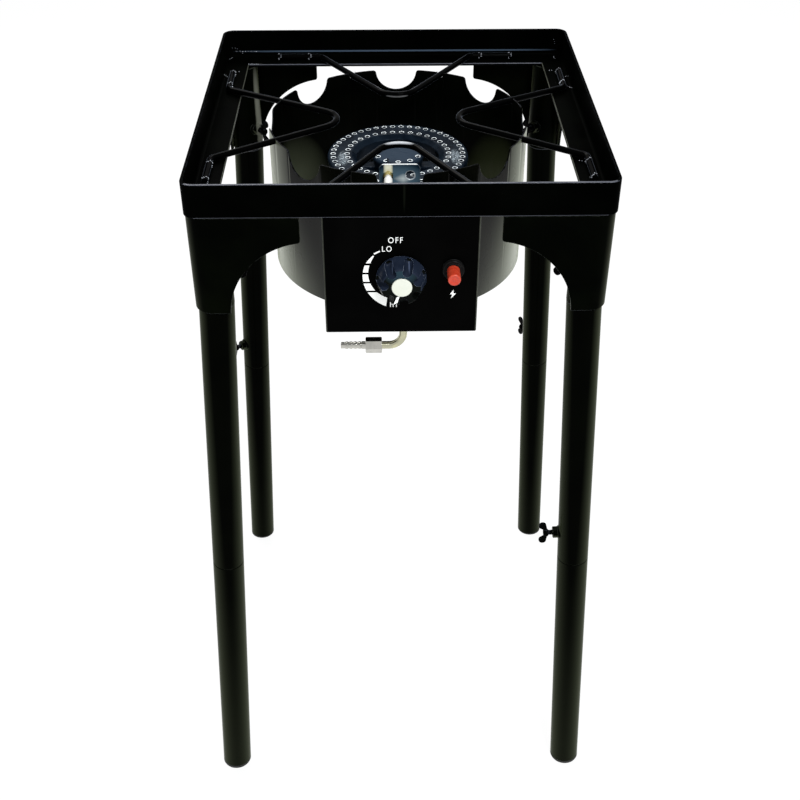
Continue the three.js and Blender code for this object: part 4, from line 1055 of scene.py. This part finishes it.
def make_plate():
    corners = arc(PLATE_HALF - 5, DRUM_TOP - 5, 5, 0, 90, 8) + arc(5 - PLATE_HALF, DRUM_TOP - 5, 5, 90, 180, 8)
    outline = [(-PLATE_HALF, PLATE_LOW), (PLATE_HALF, PLATE_LOW), *corners]
    upright = settle(flat("plate", outline, PLATE_BACK, PLATE_FRONT), FACING_FRONT)
    drill_through(upright, SIGHT_HOLE_X, ELECTRODE_Z, SIGHT_HOLE_RADIUS)
    drill_through(upright, ELECTRODE_X, ELECTRODE_Z, 3.25)
    sink = turned("sink", [(4.3, PLATE_FRONT - 0.6), (5.3, PLATE_FRONT + 0.02), (5.3, PLATE_FRONT + 2)], 48)
    carve(upright, settle(sink, at(SIGHT_HOLE_X, 0, ELECTRODE_Z) @ FACING_FRONT))
    soften(upright, 0.3, 2)
    foot = [(-PLATE_HALF, -110), (-PLATE_HALF, -131.6), (0, -133.1), (PLATE_HALF, -131.6), (PLATE_HALF, -110)]
    shelf = soften(flat("shelf", foot, PLATE_LOW, FOOT_TOP), 0.3)
    half_turn = math.degrees(math.asin(PLATE_HALF / FOOT_RADIUS))
    stations = [(x, y, TAB_LOW, FOOT_TOP) for x, y in arc(0, 0, FOOT_RADIUS, 270 - half_turn, 270 + half_turn, 12)]
    tab = soften(sheet("tab", stations, 1.5), 0.3)
    return weld("electrode_plate", upright, shelf, tab)


plate = dress(make_plate(), plate_steel, stands_for=["igniter_plate"])
repaint(plate, cut_iron, lambda middle, way: -0.97 < way.y < -0.3 and
        4.2 < math.hypot(middle.x - SIGHT_HOLE_X, middle.z - ELECTRODE_Z) < 5.4)


def make_ceramic():
    profile = [(3, 101), (3, 115.8), (2.6, 116.4), (2.6, 119.5), (4.2, 121.5), (4.2, 125.6), (4, 126), (4.2, 126.4),
               (4.2, 130.6), (4, 131), (4.2, 131.4), (4.2, 135.4), (3.9, 136.2), (3, 136.5)]
    piece = turned("ceramic_rod", profile, 48)
    settle(piece, at(ELECTRODE_X, 0, ELECTRODE_Z) @ FACING_FRONT)
    return soften(piece, 0.15, 2, angle=30)


def hexagon(name, radius, hole, low, high, chamfer):
    """A hexagon nut along Z with turned-off corners at both ends."""
    nut = turned(name, [(radius, low), (radius, high)], 6)
    limit = turned("limit", [(radius - chamfer, low), (radius + 0.1, low + chamfer * 0.6),
                             (radius + 0.1, high - chamfer * 0.6), (radius - chamfer, high)], 64)
    carve(nut, limit, "INTERSECT")
    if hole:
        carve(nut, turned("hole", [(hole, low - 2), (hole, high + 2)], 40))
    return soften(nut, 0.15, 2)


dress(make_ceramic(), porcelain, stands_for=["electrode_ceramic"])
electrode_nut = hexagon("electrode_hexagon", 5.4, 3.25, 111.8, 115.8, 0.6)
settle(electrode_nut, at(ELECTRODE_X, 0, ELECTRODE_Z) @ FACING_FRONT)
dress(electrode_nut, brass, stands_for=["electrode_nut"])
wire_start, wire_corner = (ELECTRODE_X, -100.7, ELECTRODE_Z), (ELECTRODE_X, -72, ELECTRODE_Z)
wire_end = (ELECTRODE_X, -72, 757)
wire_path = [wire_start, *bend(wire_start, wire_corner, wire_end, 4, 8), wire_end]
electrode_wire = soften(bar("spark_wire", wire_path, 1, 5), 0.25, 2, angle=60, smooth=50)
dress(electrode_wire, burner_iron, stands_for=["electrode_wire"])
print("plate faces:", len(plate.data.polygons), "wire faces:", len(electrode_wire.data.polygons))

# %% [markdown]
# ## Corner brackets
# One sheet is wrapped round each stub of tube and runs out along both sides of the frame as a gusset with a hollow
# curve. Like the drum it is a grid stood on edge, this time with the curve in its bottom row. The stub, its
# clamping nut and a weld are added to it, and the corner is copied to the other three.

# %% Corner brackets
BRACKET_OUTER, STUB_PLACE = 200, 180
STUB_TOP, STUB_LOW = 781.2, 679
TUBE_RADIUS, TUBE_BORE = 17.5, 15.8
SOCKET_SCREW = 28
NUT_RADIUS, NUT_LENGTH = 6.6, 6.5
ALONG_X = Matrix.Rotation(math.pi / 2, 4, "Y")


def wing_stations():
    """(place along the wing, height of its lower edge), from the stub out to the tip."""
    stations = [(STUB_PLACE, STUB_LOW), (170, STUB_LOW)]
    stations += arc(84, STUB_LOW - 3, 80, 2.15, 81.27, 30)
    stations += arc(96.6, 758.04, 3, 261.27, 180, 6)[1:]
    return stations


def make_bracket_sheet():
    outwards = [(BRACKET_OUTER, along, low, STUB_TOP) for along, low in reversed(wing_stations())]
    wrap = [(x, y, STUB_LOW, STUB_TOP) for x, y in arc(STUB_PLACE, STUB_PLACE, BRACKET_OUTER - STUB_PLACE, 0, 90, 14)]
    back = [(along, BRACKET_OUTER, low, STUB_TOP) for along, low in wing_stations()]
    return soften(sheet("gusset", outwards + wrap[1:-1] + back, 2.5), 0.5, 2, angle=50, smooth=25)


def screw_nut(bearing, level):
    """The welded nut of a wing screw and its weld ring, laid to a bearing round a tube's axis."""
    nut = hexagon("nut", NUT_RADIUS, 3.25, TUBE_RADIUS - 0.9, TUBE_RADIUS + NUT_LENGTH, 0.8)
    collar = turned("collar", [(NUT_RADIUS + 1.4, TUBE_RADIUS - 1.6), (NUT_RADIUS + 1.2, TUBE_RADIUS - 0.2),
                               (NUT_RADIUS + 0.1, TUBE_RADIUS + 1), (NUT_RADIUS - 1, TUBE_RADIUS + 1.2)], 32)
    soften(collar, 0, smooth=60)
    both = weld("nut", nut, collar)
    turn = Matrix.Rotation(bearing, 4, "Z")
    return settle(both, at(0, 0, level) @ turn @ ALONG_X)


def make_bracket():
    stub = soften(pipe("stub", TUBE_RADIUS + 0.2, TUBE_BORE, STUB_LOW, STUB_TOP, 72), 0.7)
    settle(stub, at(STUB_PLACE, STUB_PLACE, 0))
    nut = settle(screw_nut(math.radians(225), STUB_LOW + SOCKET_SCREW), at(STUB_PLACE, STUB_PLACE, 0))
    return weld("bracket", make_bracket_sheet(), stub, nut)


CORNERS = ("back_right", "back_left", "front_left", "front_right")
first_bracket = make_bracket()
for count, corner in enumerate(CORNERS):
    bracket = settle(twin(first_bracket, "gusset_" + corner), quarter(count))
    dress(bracket, gusset_enamel, stands_for=["corner_bracket_" + corner])
    # the stub's lower rim gets a painted highlight
    repaint(bracket, edge_highlight_enamel, lambda middle, way: middle.z < STUB_LOW + 0.9 and -0.97 < way.z < -0.2 and
            abs((middle.xy.length - STUB_PLACE * math.sqrt(2))) < 19)
bpy.data.objects.remove(first_bracket)
print("brackets:", len(CORNERS))

# %% [markdown]
# ## Legs
# Each leg has two tubes that slide into one another. The upper tube leans out from the stub, so its top is cut level
# with a bisecting plane, and a straight spigot goes up into the stub. The lower tube has a longer spigot of its own. A
# plug closes the end and is trimmed flat where it meets the floor.

# %% Legs
LEG_SHARE = 0.05
SPIGOT_RADIUS, SPIGOT_BORE = 15.5, 13.8
UPPER_LEG_DROP, UPPER_SPIGOT, LOWER_SPIGOT = 334, 58, 90
FOOT_HEAD, FOOT_STEM = 3.2, 20
LEG_WAY = Vector((LEG_SHARE, LEG_SHARE, -1)).normalized()
LEG_TURN = Vector((0, 0, -1)).rotation_difference(LEG_WAY).to_matrix().to_4x4()
STRETCH = -1 / LEG_WAY.z
JOINT = -UPPER_LEG_DROP * STRETCH
LEG_END = STUB_LOW * STRETCH
MID_SCREW = 36
MID_BEARINGS = (2.09, 2.18, 4.58, 4.71)
LEG_TOP = at(STUB_PLACE, STUB_PLACE, STUB_LOW)


def trim(piece, height, above=True):
    """Cuts a piece level at a height and closes it."""
    edit(piece)
    bpy.ops.mesh.bisect(plane_co=(0, 0, height * MM), plane_no=(0, 0, 1), use_fill=True,
                        clear_outer=above, clear_inner=not above)
    bpy.ops.mesh.select_all(action="SELECT")
    close_edit()
    return piece


def make_upper_leg(bearing):
    shaft = pipe("shaft", TUBE_RADIUS, TUBE_BORE, JOINT, 12, 72)
    settle(shaft, LEG_TURN)
    soften(trim(shaft, -0.3), 0.5)
    spigot = soften(pipe("spigot", SPIGOT_RADIUS, SPIGOT_BORE, -15, UPPER_SPIGOT, 64), 0.5)
    nut = settle(screw_nut(bearing, JOINT + MID_SCREW), LEG_TURN)
    return weld("upper", shaft, spigot, nut)


def make_lower_leg():
    end = FOOT_HEAD * STRETCH + 0.3 - LEG_END
    shoulder = JOINT - 0.3
    top = JOINT + LOWER_SPIGOT
    profile = [(TUBE_BORE, end), (TUBE_RADIUS, end), (TUBE_RADIUS, shoulder - 1), (TUBE_RADIUS - 0.25, shoulder - 0.3),
               (TUBE_RADIUS - 0.9, shoulder), (SPIGOT_RADIUS, shoulder), (SPIGOT_RADIUS, top), (SPIGOT_BORE, top),
               (SPIGOT_BORE, shoulder - 17), (TUBE_BORE, shoulder - 18.7), (TUBE_BORE, end)]
    return soften(settle(turned("lower", profile, 72, ring=True), LEG_TURN), 0.3)


def make_foot():
    top, low = FOOT_HEAD * STRETCH - LEG_END, -LEG_END - 1.6
    profile = [(15.9, low), (17, low + 0.5), (TUBE_RADIUS, low + 1.6), (TUBE_RADIUS, top - 0.5), (17, top),
               (SPIGOT_RADIUS, top), (SPIGOT_RADIUS, top + FOOT_STEM)]
    foot = settle(turned("foot", profile, 64), LEG_TURN)
    return soften(trim(foot, 0.05 - STUB_LOW, above=False), 0.4)


first_lower, first_foot = make_lower_leg(), make_foot()
for count, corner in enumerate(CORNERS):
    place = quarter(count) @ LEG_TOP
    upper = settle(make_upper_leg(MID_BEARINGS[count]), place)
    upper.name = "upper_tube_" + corner
    dress(upper, leg_enamel, "leg_upper_" + corner, ["leg_upper_" + corner])
    lower = settle(twin(first_lower, "lower_tube_" + corner), place)
    dress(lower, leg_enamel, "leg_lower_" + corner, ["leg_lower_" + corner])
    foot = settle(twin(first_foot, "foot_plug_" + corner), place)
    dress(foot, foot_rubber, "leg_lower_" + corner, ["foot_cap_" + corner])
for piece in (first_lower, first_foot):
    bpy.data.objects.remove(piece)
print("leg joint height:", round(STUB_LOW - UPPER_LEG_DROP, 1))

# %% [markdown]
# ## Wing screws
# Eight wing screws clamp the tubes. One is modelled: a shank with thread ridges, a turned hub, and two ears that are a
# flat outline with rounded edges. Copies are laid to their bearings on the stubs and on the leaning legs.

# %% Wing screws
HUB_START = TUBE_RADIUS + NUT_LENGTH + 4.5
EAR_SPAN, EAR_RISE, EAR_RADIUS = 29, 11, 4.4


def make_wing_screw():
    profile = [(2.4, SPIGOT_RADIUS + 0.4)]
    level = SPIGOT_RADIUS + 1
    while level < HUB_START:
        profile += [(2.95, level), (2.95, level + 0.25), (2.55, level + 0.5), (2.55, level + 0.65)]
        level += 1
    shank = turned("shank", profile + [(2.9, HUB_START + 1)], 24)
    soften(shank, 0)
    hub = turned("hub", [(3.2, HUB_START), (4.5, HUB_START + 1.2), (4.2, HUB_START + 4.8), (3, HUB_START + 6)], 40)
    soften(hub, 0.6, 3, angle=20)
    lobe, rise = EAR_SPAN / 2 - EAR_RADIUS, HUB_START + EAR_RISE - EAR_RADIUS
    right = arc(lobe, rise, EAR_RADIUS, -60, 135, 14)
    left = [(-x, y) for x, y in reversed(right)]
    neck = [(4.2, HUB_START + 5.4), (0, HUB_START + 4.6), (-4.2, HUB_START + 5.4)]
    outline = [(-2.2, HUB_START + 1), (2.2, HUB_START + 1), (6, HUB_START + 1.6), *right, *neck, *left,
               (-6, HUB_START + 1.6)]
    ears = settle(flat("ears", outline, -1.45, 1.45), Matrix.Rotation(math.pi / 2, 4, "X"))
    soften(ears, 0.9, 3, angle=40, smooth=50)
    return settle(weld("wing_screw", shank, hub, ears), ALONG_X)


first_screw = make_wing_screw()
for count, corner in enumerate(CORNERS):
    turn = Matrix.Rotation(math.radians(225), 4, "Z")
    upper = settle(twin(first_screw, "socket_wing_" + corner), quarter(count) @ LEG_TOP @ at(0, 0, SOCKET_SCREW) @ turn)
    dress(upper, enamel, "socket_screw_" + corner, ["socket_screw_" + corner])
    turn = Matrix.Rotation(MID_BEARINGS[count], 4, "Z")
    place = quarter(count) @ LEG_TOP @ LEG_TURN @ at(0, 0, JOINT + MID_SCREW) @ turn
    lower = settle(twin(first_screw, "mid_wing_" + corner), place)
    dress(lower, enamel, "mid_screw_" + corner, ["mid_screw_" + corner])
bpy.data.objects.remove(first_screw)
print("wing screws:", 2 * len(CORNERS))

# %% [markdown]
# ## Control panel
# The panel is a folded sheet, open behind and below. A block loses its back and bottom faces, its upright front edges
# are rounded to the bend radius, and the remaining faces get their thickness inwards. Then the two holes are drilled.

# %% Control panel
PANEL_HALF, PANEL_FRONT, PANEL_BACK = 73.5, 198, 171
PANEL_LOW, PANEL_TOP = 655, 781.2
IGNITER_X, IGNITER_Z = 49, 726
PANEL_BEND, PANEL_SHEET = 2, 1.5
STEM_HOLE, IGNITER_HOLE = 6.5, 8.3


def make_panel():
    piece = box("folded_panel", (-PANEL_HALF, -PANEL_FRONT, PANEL_LOW), (PANEL_HALF, -PANEL_BACK, PANEL_TOP))
    edit(piece)
    pick("faces", lambda middle, way: way.y > 0.9 or way.z < -0.9)
    bpy.ops.mesh.delete(type="FACE")
    bpy.ops.mesh.select_mode(type="EDGE")
    pick("edges", lambda middle, way: abs(way.z) > 0.9 and middle.y < 1 - PANEL_FRONT)
    bpy.ops.mesh.bevel(offset=PANEL_BEND * MM, segments=5, affect="EDGES")
    bpy.ops.mesh.select_mode(type="FACE")
    bpy.ops.mesh.select_all(action="SELECT")
    close_edit()
    apply_modifier(piece, "SOLIDIFY", thickness=PANEL_SHEET * MM, offset=-1, use_even_offset=True)
    for x, z, radius in ((0, VALVE_Z, STEM_HOLE), (IGNITER_X, IGNITER_Z, IGNITER_HOLE)):
        hole = turned("hole", [(radius, 190), (radius, 205)], 48)
        carve(piece, settle(hole, at(x, 0, z) @ FACING_FRONT))
    return soften(piece, 0.45, 2)


panel = dress(make_panel(), panel_paint, stands_for=["control_panel"])
# the panel's top front edge gets a painted highlight, its rounded front corners a dimmer painted highlight
repaint(panel, edge_highlight_enamel, lambda middle, way: middle.z > 780.5 and way.y < -0.2 and way.z > 0.2)
repaint(panel, dim_edge_highlight, lambda middle, way: middle.y < -196 and 0.25 < abs(way.x) < 0.97 and way.y < -0.2)
print("panel faces:", len(panel.data.polygons))

# %% [markdown]
# ## Knob
# The knob is a turned cone with seven deep finger grooves that run out in its face, a cream cap, and a white pointer
# from the cap to the rim. The grooves are cut with one capsule, copied round, and their rims get a lighter finish, a
# painted highlight. The front face, the downward faces and the lower half get a darker one: it is a painted shade, so
# it turns with the knob.

# %% Knob
KNOB_BACK, KNOB_FRONT = 198.6, 216.6
KNOB_LINE = at(0, 0, VALVE_Z) @ FACING_FRONT
GROOVES, GROOVE_RADIUS, GROOVE_TURN = 7, 4.5, math.radians(33)
GROOVE_REACH, GROOVE_DEPTH, GROOVE_LEAN = 18.7, 213.7, math.radians(28)
POINTER_TURN, POINTER_START, POINTER_LENGTH = math.radians(-18.4), 10.15, 9.1
NAVY, RIM_HIGHLIGHT, PAINTED_SHADE = range(3)
SHADE_BELOW = 4


def capsule(radius, straight):
    ends = arc(0, straight / 2, radius, 8, 82, 7)
    profile = [(x, -z) for x, z in reversed(ends)] + ends
    return turned("capsule", profile, 28)


def make_knob():
    side = KNOB_BACK + 3
    edge = KNOB_FRONT - 1.4
    body = turned("grooved_knob", [(23.4, KNOB_BACK), (24, KNOB_BACK + 0.5), (24, side), (19.4, edge),
                                  (19.1, edge + 0.8), (18, KNOB_FRONT), (10.25, KNOB_FRONT), (10.25, 215)], 128)
    cutter = capsule(GROOVE_RADIUS, 18)
    settle(cutter, at(0, GROOVE_REACH, GROOVE_DEPTH) @ Matrix.Rotation(GROOVE_LEAN, 4, "X"))
    copies = []
    for number in range(GROOVES):
        turn = Matrix.Rotation(GROOVE_TURN - number * 2 * math.pi / GROOVES, 4, "Z")
        copies.append(settle(twin(cutter, "groove"), turn))
    bpy.data.objects.remove(cutter)
    carve(body, weld("grooves", *copies))
    carve(body, turned("socket", [(4.25, 190), (4.25, 209.9)], 40))
    for material in (navy_plastic, knob_rim_highlight, knob_shade):
        body.data.materials.append(material)
    soften(body, 0.55, 2, angle=42, smooth=50, rim=RIM_HIGHLIGHT)
    return settle(body, KNOB_LINE)


def make_cap():
    profile = [(9.6, 215.3), (9.65, 216.6), (9.4, 217), (8.8, 217.1), (5, 217.1)]
    return soften(settle(turned("cream_cap", profile, 72), at(0.3, 0, 0) @ KNOB_LINE), 0.12)


def make_pointer():
    """A white mark laid on the knob's face and over its edge."""
    bpy.ops.object.select_all(action="DESELECT")
    bpy.ops.mesh.primitive_grid_add(x_subdivisions=2, y_subdivisions=14, size=2, location=(0, 0, 0))
    piece = bpy.context.object
    piece.name = "pointer"
    for corner in piece.data.vertices:
        share = (corner.co.y + 1) / 2
        reach = POINTER_START + share * POINTER_LENGTH
        across = corner.co.x * (1.4 + share * 0.55)
        sink = max(0, reach - 18) * 0.75
        x = across * math.cos(POINTER_TURN) + reach * math.sin(POINTER_TURN)
        z = -across * math.sin(POINTER_TURN) - reach * math.cos(POINTER_TURN)
        corner.co = Vector((x, -(KNOB_FRONT - sink) - 0.03, VALVE_Z + z)) * MM
    edit(piece)
    close_edit()
    return apply_modifier(piece, "SOLIDIFY", thickness=0.1 * MM, offset=0)


knob = dress(make_knob(), None, "knob", ["knob"])
# painted shade: the front face, the downward faces and the lower half get the darker plastic
for face in knob.data.polygons:
    shaded_side = face.normal.z < -0.15 or (face.normal.y < -0.9 and face.center.y < -0.2)
    if face.center.z < (VALVE_Z - SHADE_BELOW) * MM or (shaded_side and face.material_index == NAVY):
        face.material_index = PAINTED_SHADE
dress(make_cap(), cream_plastic, "knob", ["knob_cap"])
dress(make_pointer(), print_ink, "knob")
print("grooves:", GROOVES)

# %% [markdown]
# ## Igniter button
# A red push button stands in a threaded neck behind a ring nut. The ring nut gets a shallow groove and the button a
# dished face, which is what catches the light.

# %% Igniter button
IGNITER_LINE = at(IGNITER_X, 0, IGNITER_Z) @ FACING_FRONT


def make_collar():
    profile = [(8.3, 198.3), (10.5, 198.3), (10.5, 199.4), (10.1, 199.7), (10.1, 200), (10.5, 200.3), (10.5, 202.2),
               (9.8, 202.9), (8.3, 202.9), (8.3, 198.3)]
    return soften(settle(turned("ring_nut", profile, 72, ring=True), IGNITER_LINE), 0.2, angle=30)


def make_button():
    profile = [(6.1, 182), (6.1, 218.6), (5.8, 219.5), (5.1, 220), (4.3, 219.7), (3.2, 219), (1.6, 218.8),
               (1.4, 219.1), (0.5, 219.2)]
    return soften(settle(turned("push_button", profile, 64), IGNITER_LINE), 0.15, angle=25, smooth=45)


dress(make_collar(), dark_plastic, stands_for=["igniter_collar"])
dress(make_button(), red_plastic, "igniter_button", ["igniter_button"])
print("button reaches", 220 - PANEL_FRONT, "mm")

# %% [markdown]
# ## Print on the panel
# The dial is screen print: short words, a flash sign and an arc that widens from low to high. Print has hardly any
# thickness, so each mark is a flat form a few hundredths of a millimetre thick, lying on the panel.

# %% Print on the panel
INK_BACK, INK_FRONT = PANEL_FRONT - 0.02, PANEL_FRONT + 0.05


def ink(name, outline):
    return settle(flat(name, outline, INK_BACK, INK_FRONT), FACING_FRONT)


def word(text, left, low, width, height):
    bpy.ops.object.select_all(action="DESELECT")
    bpy.ops.object.text_add(location=(0, 0, 0))
    piece = bpy.context.object
    piece.data.body = text
    piece.data.offset = 0.003
    piece.data.space_character = 1.28
    piece.data.extrude = 0.035
    bpy.ops.object.convert(target="MESH")
    piece = bpy.context.object
    low_corner = Vector([min(v.co[axis] for v in piece.data.vertices) for axis in range(3)])
    high_corner = Vector([max(v.co[axis] for v in piece.data.vertices) for axis in range(3)])
    size = high_corner - low_corner
    for corner in piece.data.vertices:
        share = corner.co - low_corner
        corner.co = Vector((left + share.x / size.x * width, low + share.y / size.y * height,
                            INK_BACK + share.z / size.z * (INK_FRONT - INK_BACK))) * MM
    return settle(piece, FACING_FRONT)


def dial_place(radius, turn):
    turn = math.radians(turn)
    return radius * math.cos(turn), VALVE_Z + radius * math.sin(turn)


def segment(name, inner, outer):
    """Part of the arc between (radius, angle) ends of its inner and outer edges."""
    steps = 8
    edges = []
    for (first_radius, first_turn), (last_radius, last_turn) in (inner, outer):
        first_turn, last_turn = first_turn + 0.35, last_turn - 0.35
        edges.append([dial_place(first_radius + (last_radius - first_radius) * step / steps,
                                 first_turn + (last_turn - first_turn) * step / steps) for step in range(steps + 1)])
    return ink(name, edges[0] + edges[1][::-1])


def make_print():
    marks = [
        word("OFF", -12.2, 753.7, 13.6, 6.1),
        word("LO", -18, 744.7, 9, 5.9),
        word("hi", -10.8, 683.8, 6.6, 5.4),
        ink("flash", [(49.9, 702.6), (46.6, 697.6), (48.9, 697.3), (47.6, 692.8), (52.4, 698.5), (50.1, 698.5)]),
        ink("dash", [(-20.3, 745.9), (-25.9, 743.1), (-25.2, 741.7), (-19.7, 744.6)]),
        segment("arc", ((34.6, 137), (33.1, 151.6)), ((35.9, 137.4), (36.9, 154.9))),
        segment("arc", ((33, 155.3), (31.8, 169.7)), ((37, 158.2), (36.7, 171.1))),
        segment("arc", ((31.7, 172.6), (30.3, 188.1)), ((36.7, 173.7), (36.3, 186.8))),
        segment("arc", ((30, 191.4), (28.5, 209.9)), ((36.3, 189.4), (35.9, 203.3))),
        segment("arc", ((28.2, 214.3), (25.8, 239)), ((35.8, 206.3), (34.9, 245.5))),
    ]
    return weld("dial_print", *marks)


dial_print = dress(make_print(), print_ink)
print("print faces:", len(dial_print.data.polygons))

# %% [markdown]
# ## Gas inlet
# A bent tube comes down behind the panel and turns to the left, where a hexagon nut holds a barbed hose tail. The tube
# is a path with a true bend, the nut a hexagon with turned-off corners, the tail a turned form with four barbs.

# %% Gas inlet
INLET_X, INLET_Y, INLET_Z = 2.5, -175, 624
INLET_LINE = at(-19, INLET_Y, INLET_Z) @ Matrix.Rotation(-math.pi / 2, 4, "Y")


def make_elbow():
    top, corner = (INLET_X, INLET_Y, 698.2), (INLET_X, INLET_Y, INLET_Z)
    end = (-26.5, INLET_Y, INLET_Z)
    return soften(bar("inlet_tube", [top, *bend(top, corner, end, 14.5, 20), end], 4, 8), 0, smooth=50)


def make_tail():
    profile = [(2, 9), (4, 9), (4, 20.4)]
    for barb in range(4):
        foot = 20.9 + 4.34 * barb
        profile += [(3.3, foot), (3.3, foot + 0.4), (4, foot + 0.7), (4, foot + 1.1), (3.35, foot + 3.9)]
    profile += [(3.3, 38.4), (3.3, 41.1), (3, 41.5), (2, 41.5), (2, 9)]
    return settle(turned("barbed_tail", profile, 48, ring=True), INLET_LINE)


dress(make_elbow(), zinc, stands_for=["inlet_elbow"])
inlet_nut = settle(hexagon("inlet_hexagon", 8.1, 4.25, 0, 16.5, 1), INLET_LINE)
dress(inlet_nut, nickel, stands_for=["inlet_nut"])
dress(soften(make_tail(), 0.12), nickel, stands_for=["hose_tail"])
print("inlet nut faces:", len(inlet_nut.data.polygons))

# %% [markdown]
# ## Pieces inside
# The valve, jet, air shutter, mixing tube, straps and bolts are seen only from behind or below. Their solids already
# have the right shape, so a copy of each is cleaned: loose corners are merged, flat facets joined, edges rounded, and
# round walls shaded smooth.

# %% Pieces inside
INNER = {
    "mixing_tube": ("gas_tube", burner_iron, "iron", "stove", 0.5),
    "air_shutter": ("shutter_disc", zinc, "zinc_steel", "air_shutter", 0.2),
    "gas_jet": ("jet_nozzle", brass, "brass", "stove", 0.2),
    "valve_body": ("valve_block", brass, "brass", "stove", 0.5),
    "valve_stem": ("stem", zinc, "zinc_steel", "knob", 0.3),
    "igniter_body": ("igniter_case", dark_plastic, "black_plastic", "stove", 0.3),
    "burner_strap_left": ("strap_left", enamel, "black_coat", "stove", 0.4),
    "burner_strap_right": ("strap_right", enamel, "black_coat", "stove", 0.4),
    "burner_bolt_left": ("bolt_left", bright_steel, "bright_steel", "stove", 0.3),
    "burner_bolt_right": ("bolt_right", bright_steel, "bright_steel", "stove", 0.3),
}


def cleaned(node, name, width):
    piece = twin(nodes[node], name)
    edit(piece, "VERT")
    bpy.ops.mesh.remove_doubles(threshold=0.01 * MM)
    bpy.ops.mesh.dissolve_limited(angle_limit=math.radians(1))
    bpy.ops.mesh.select_all(action="SELECT")
    close_edit()
    return soften(piece, width, 2, angle=50, smooth=42)


for node, (name, material, slot_name, body, width) in INNER.items():
    dress(cleaned(node, name, width), material, body, [node])
print("inner pieces:", len(INNER))
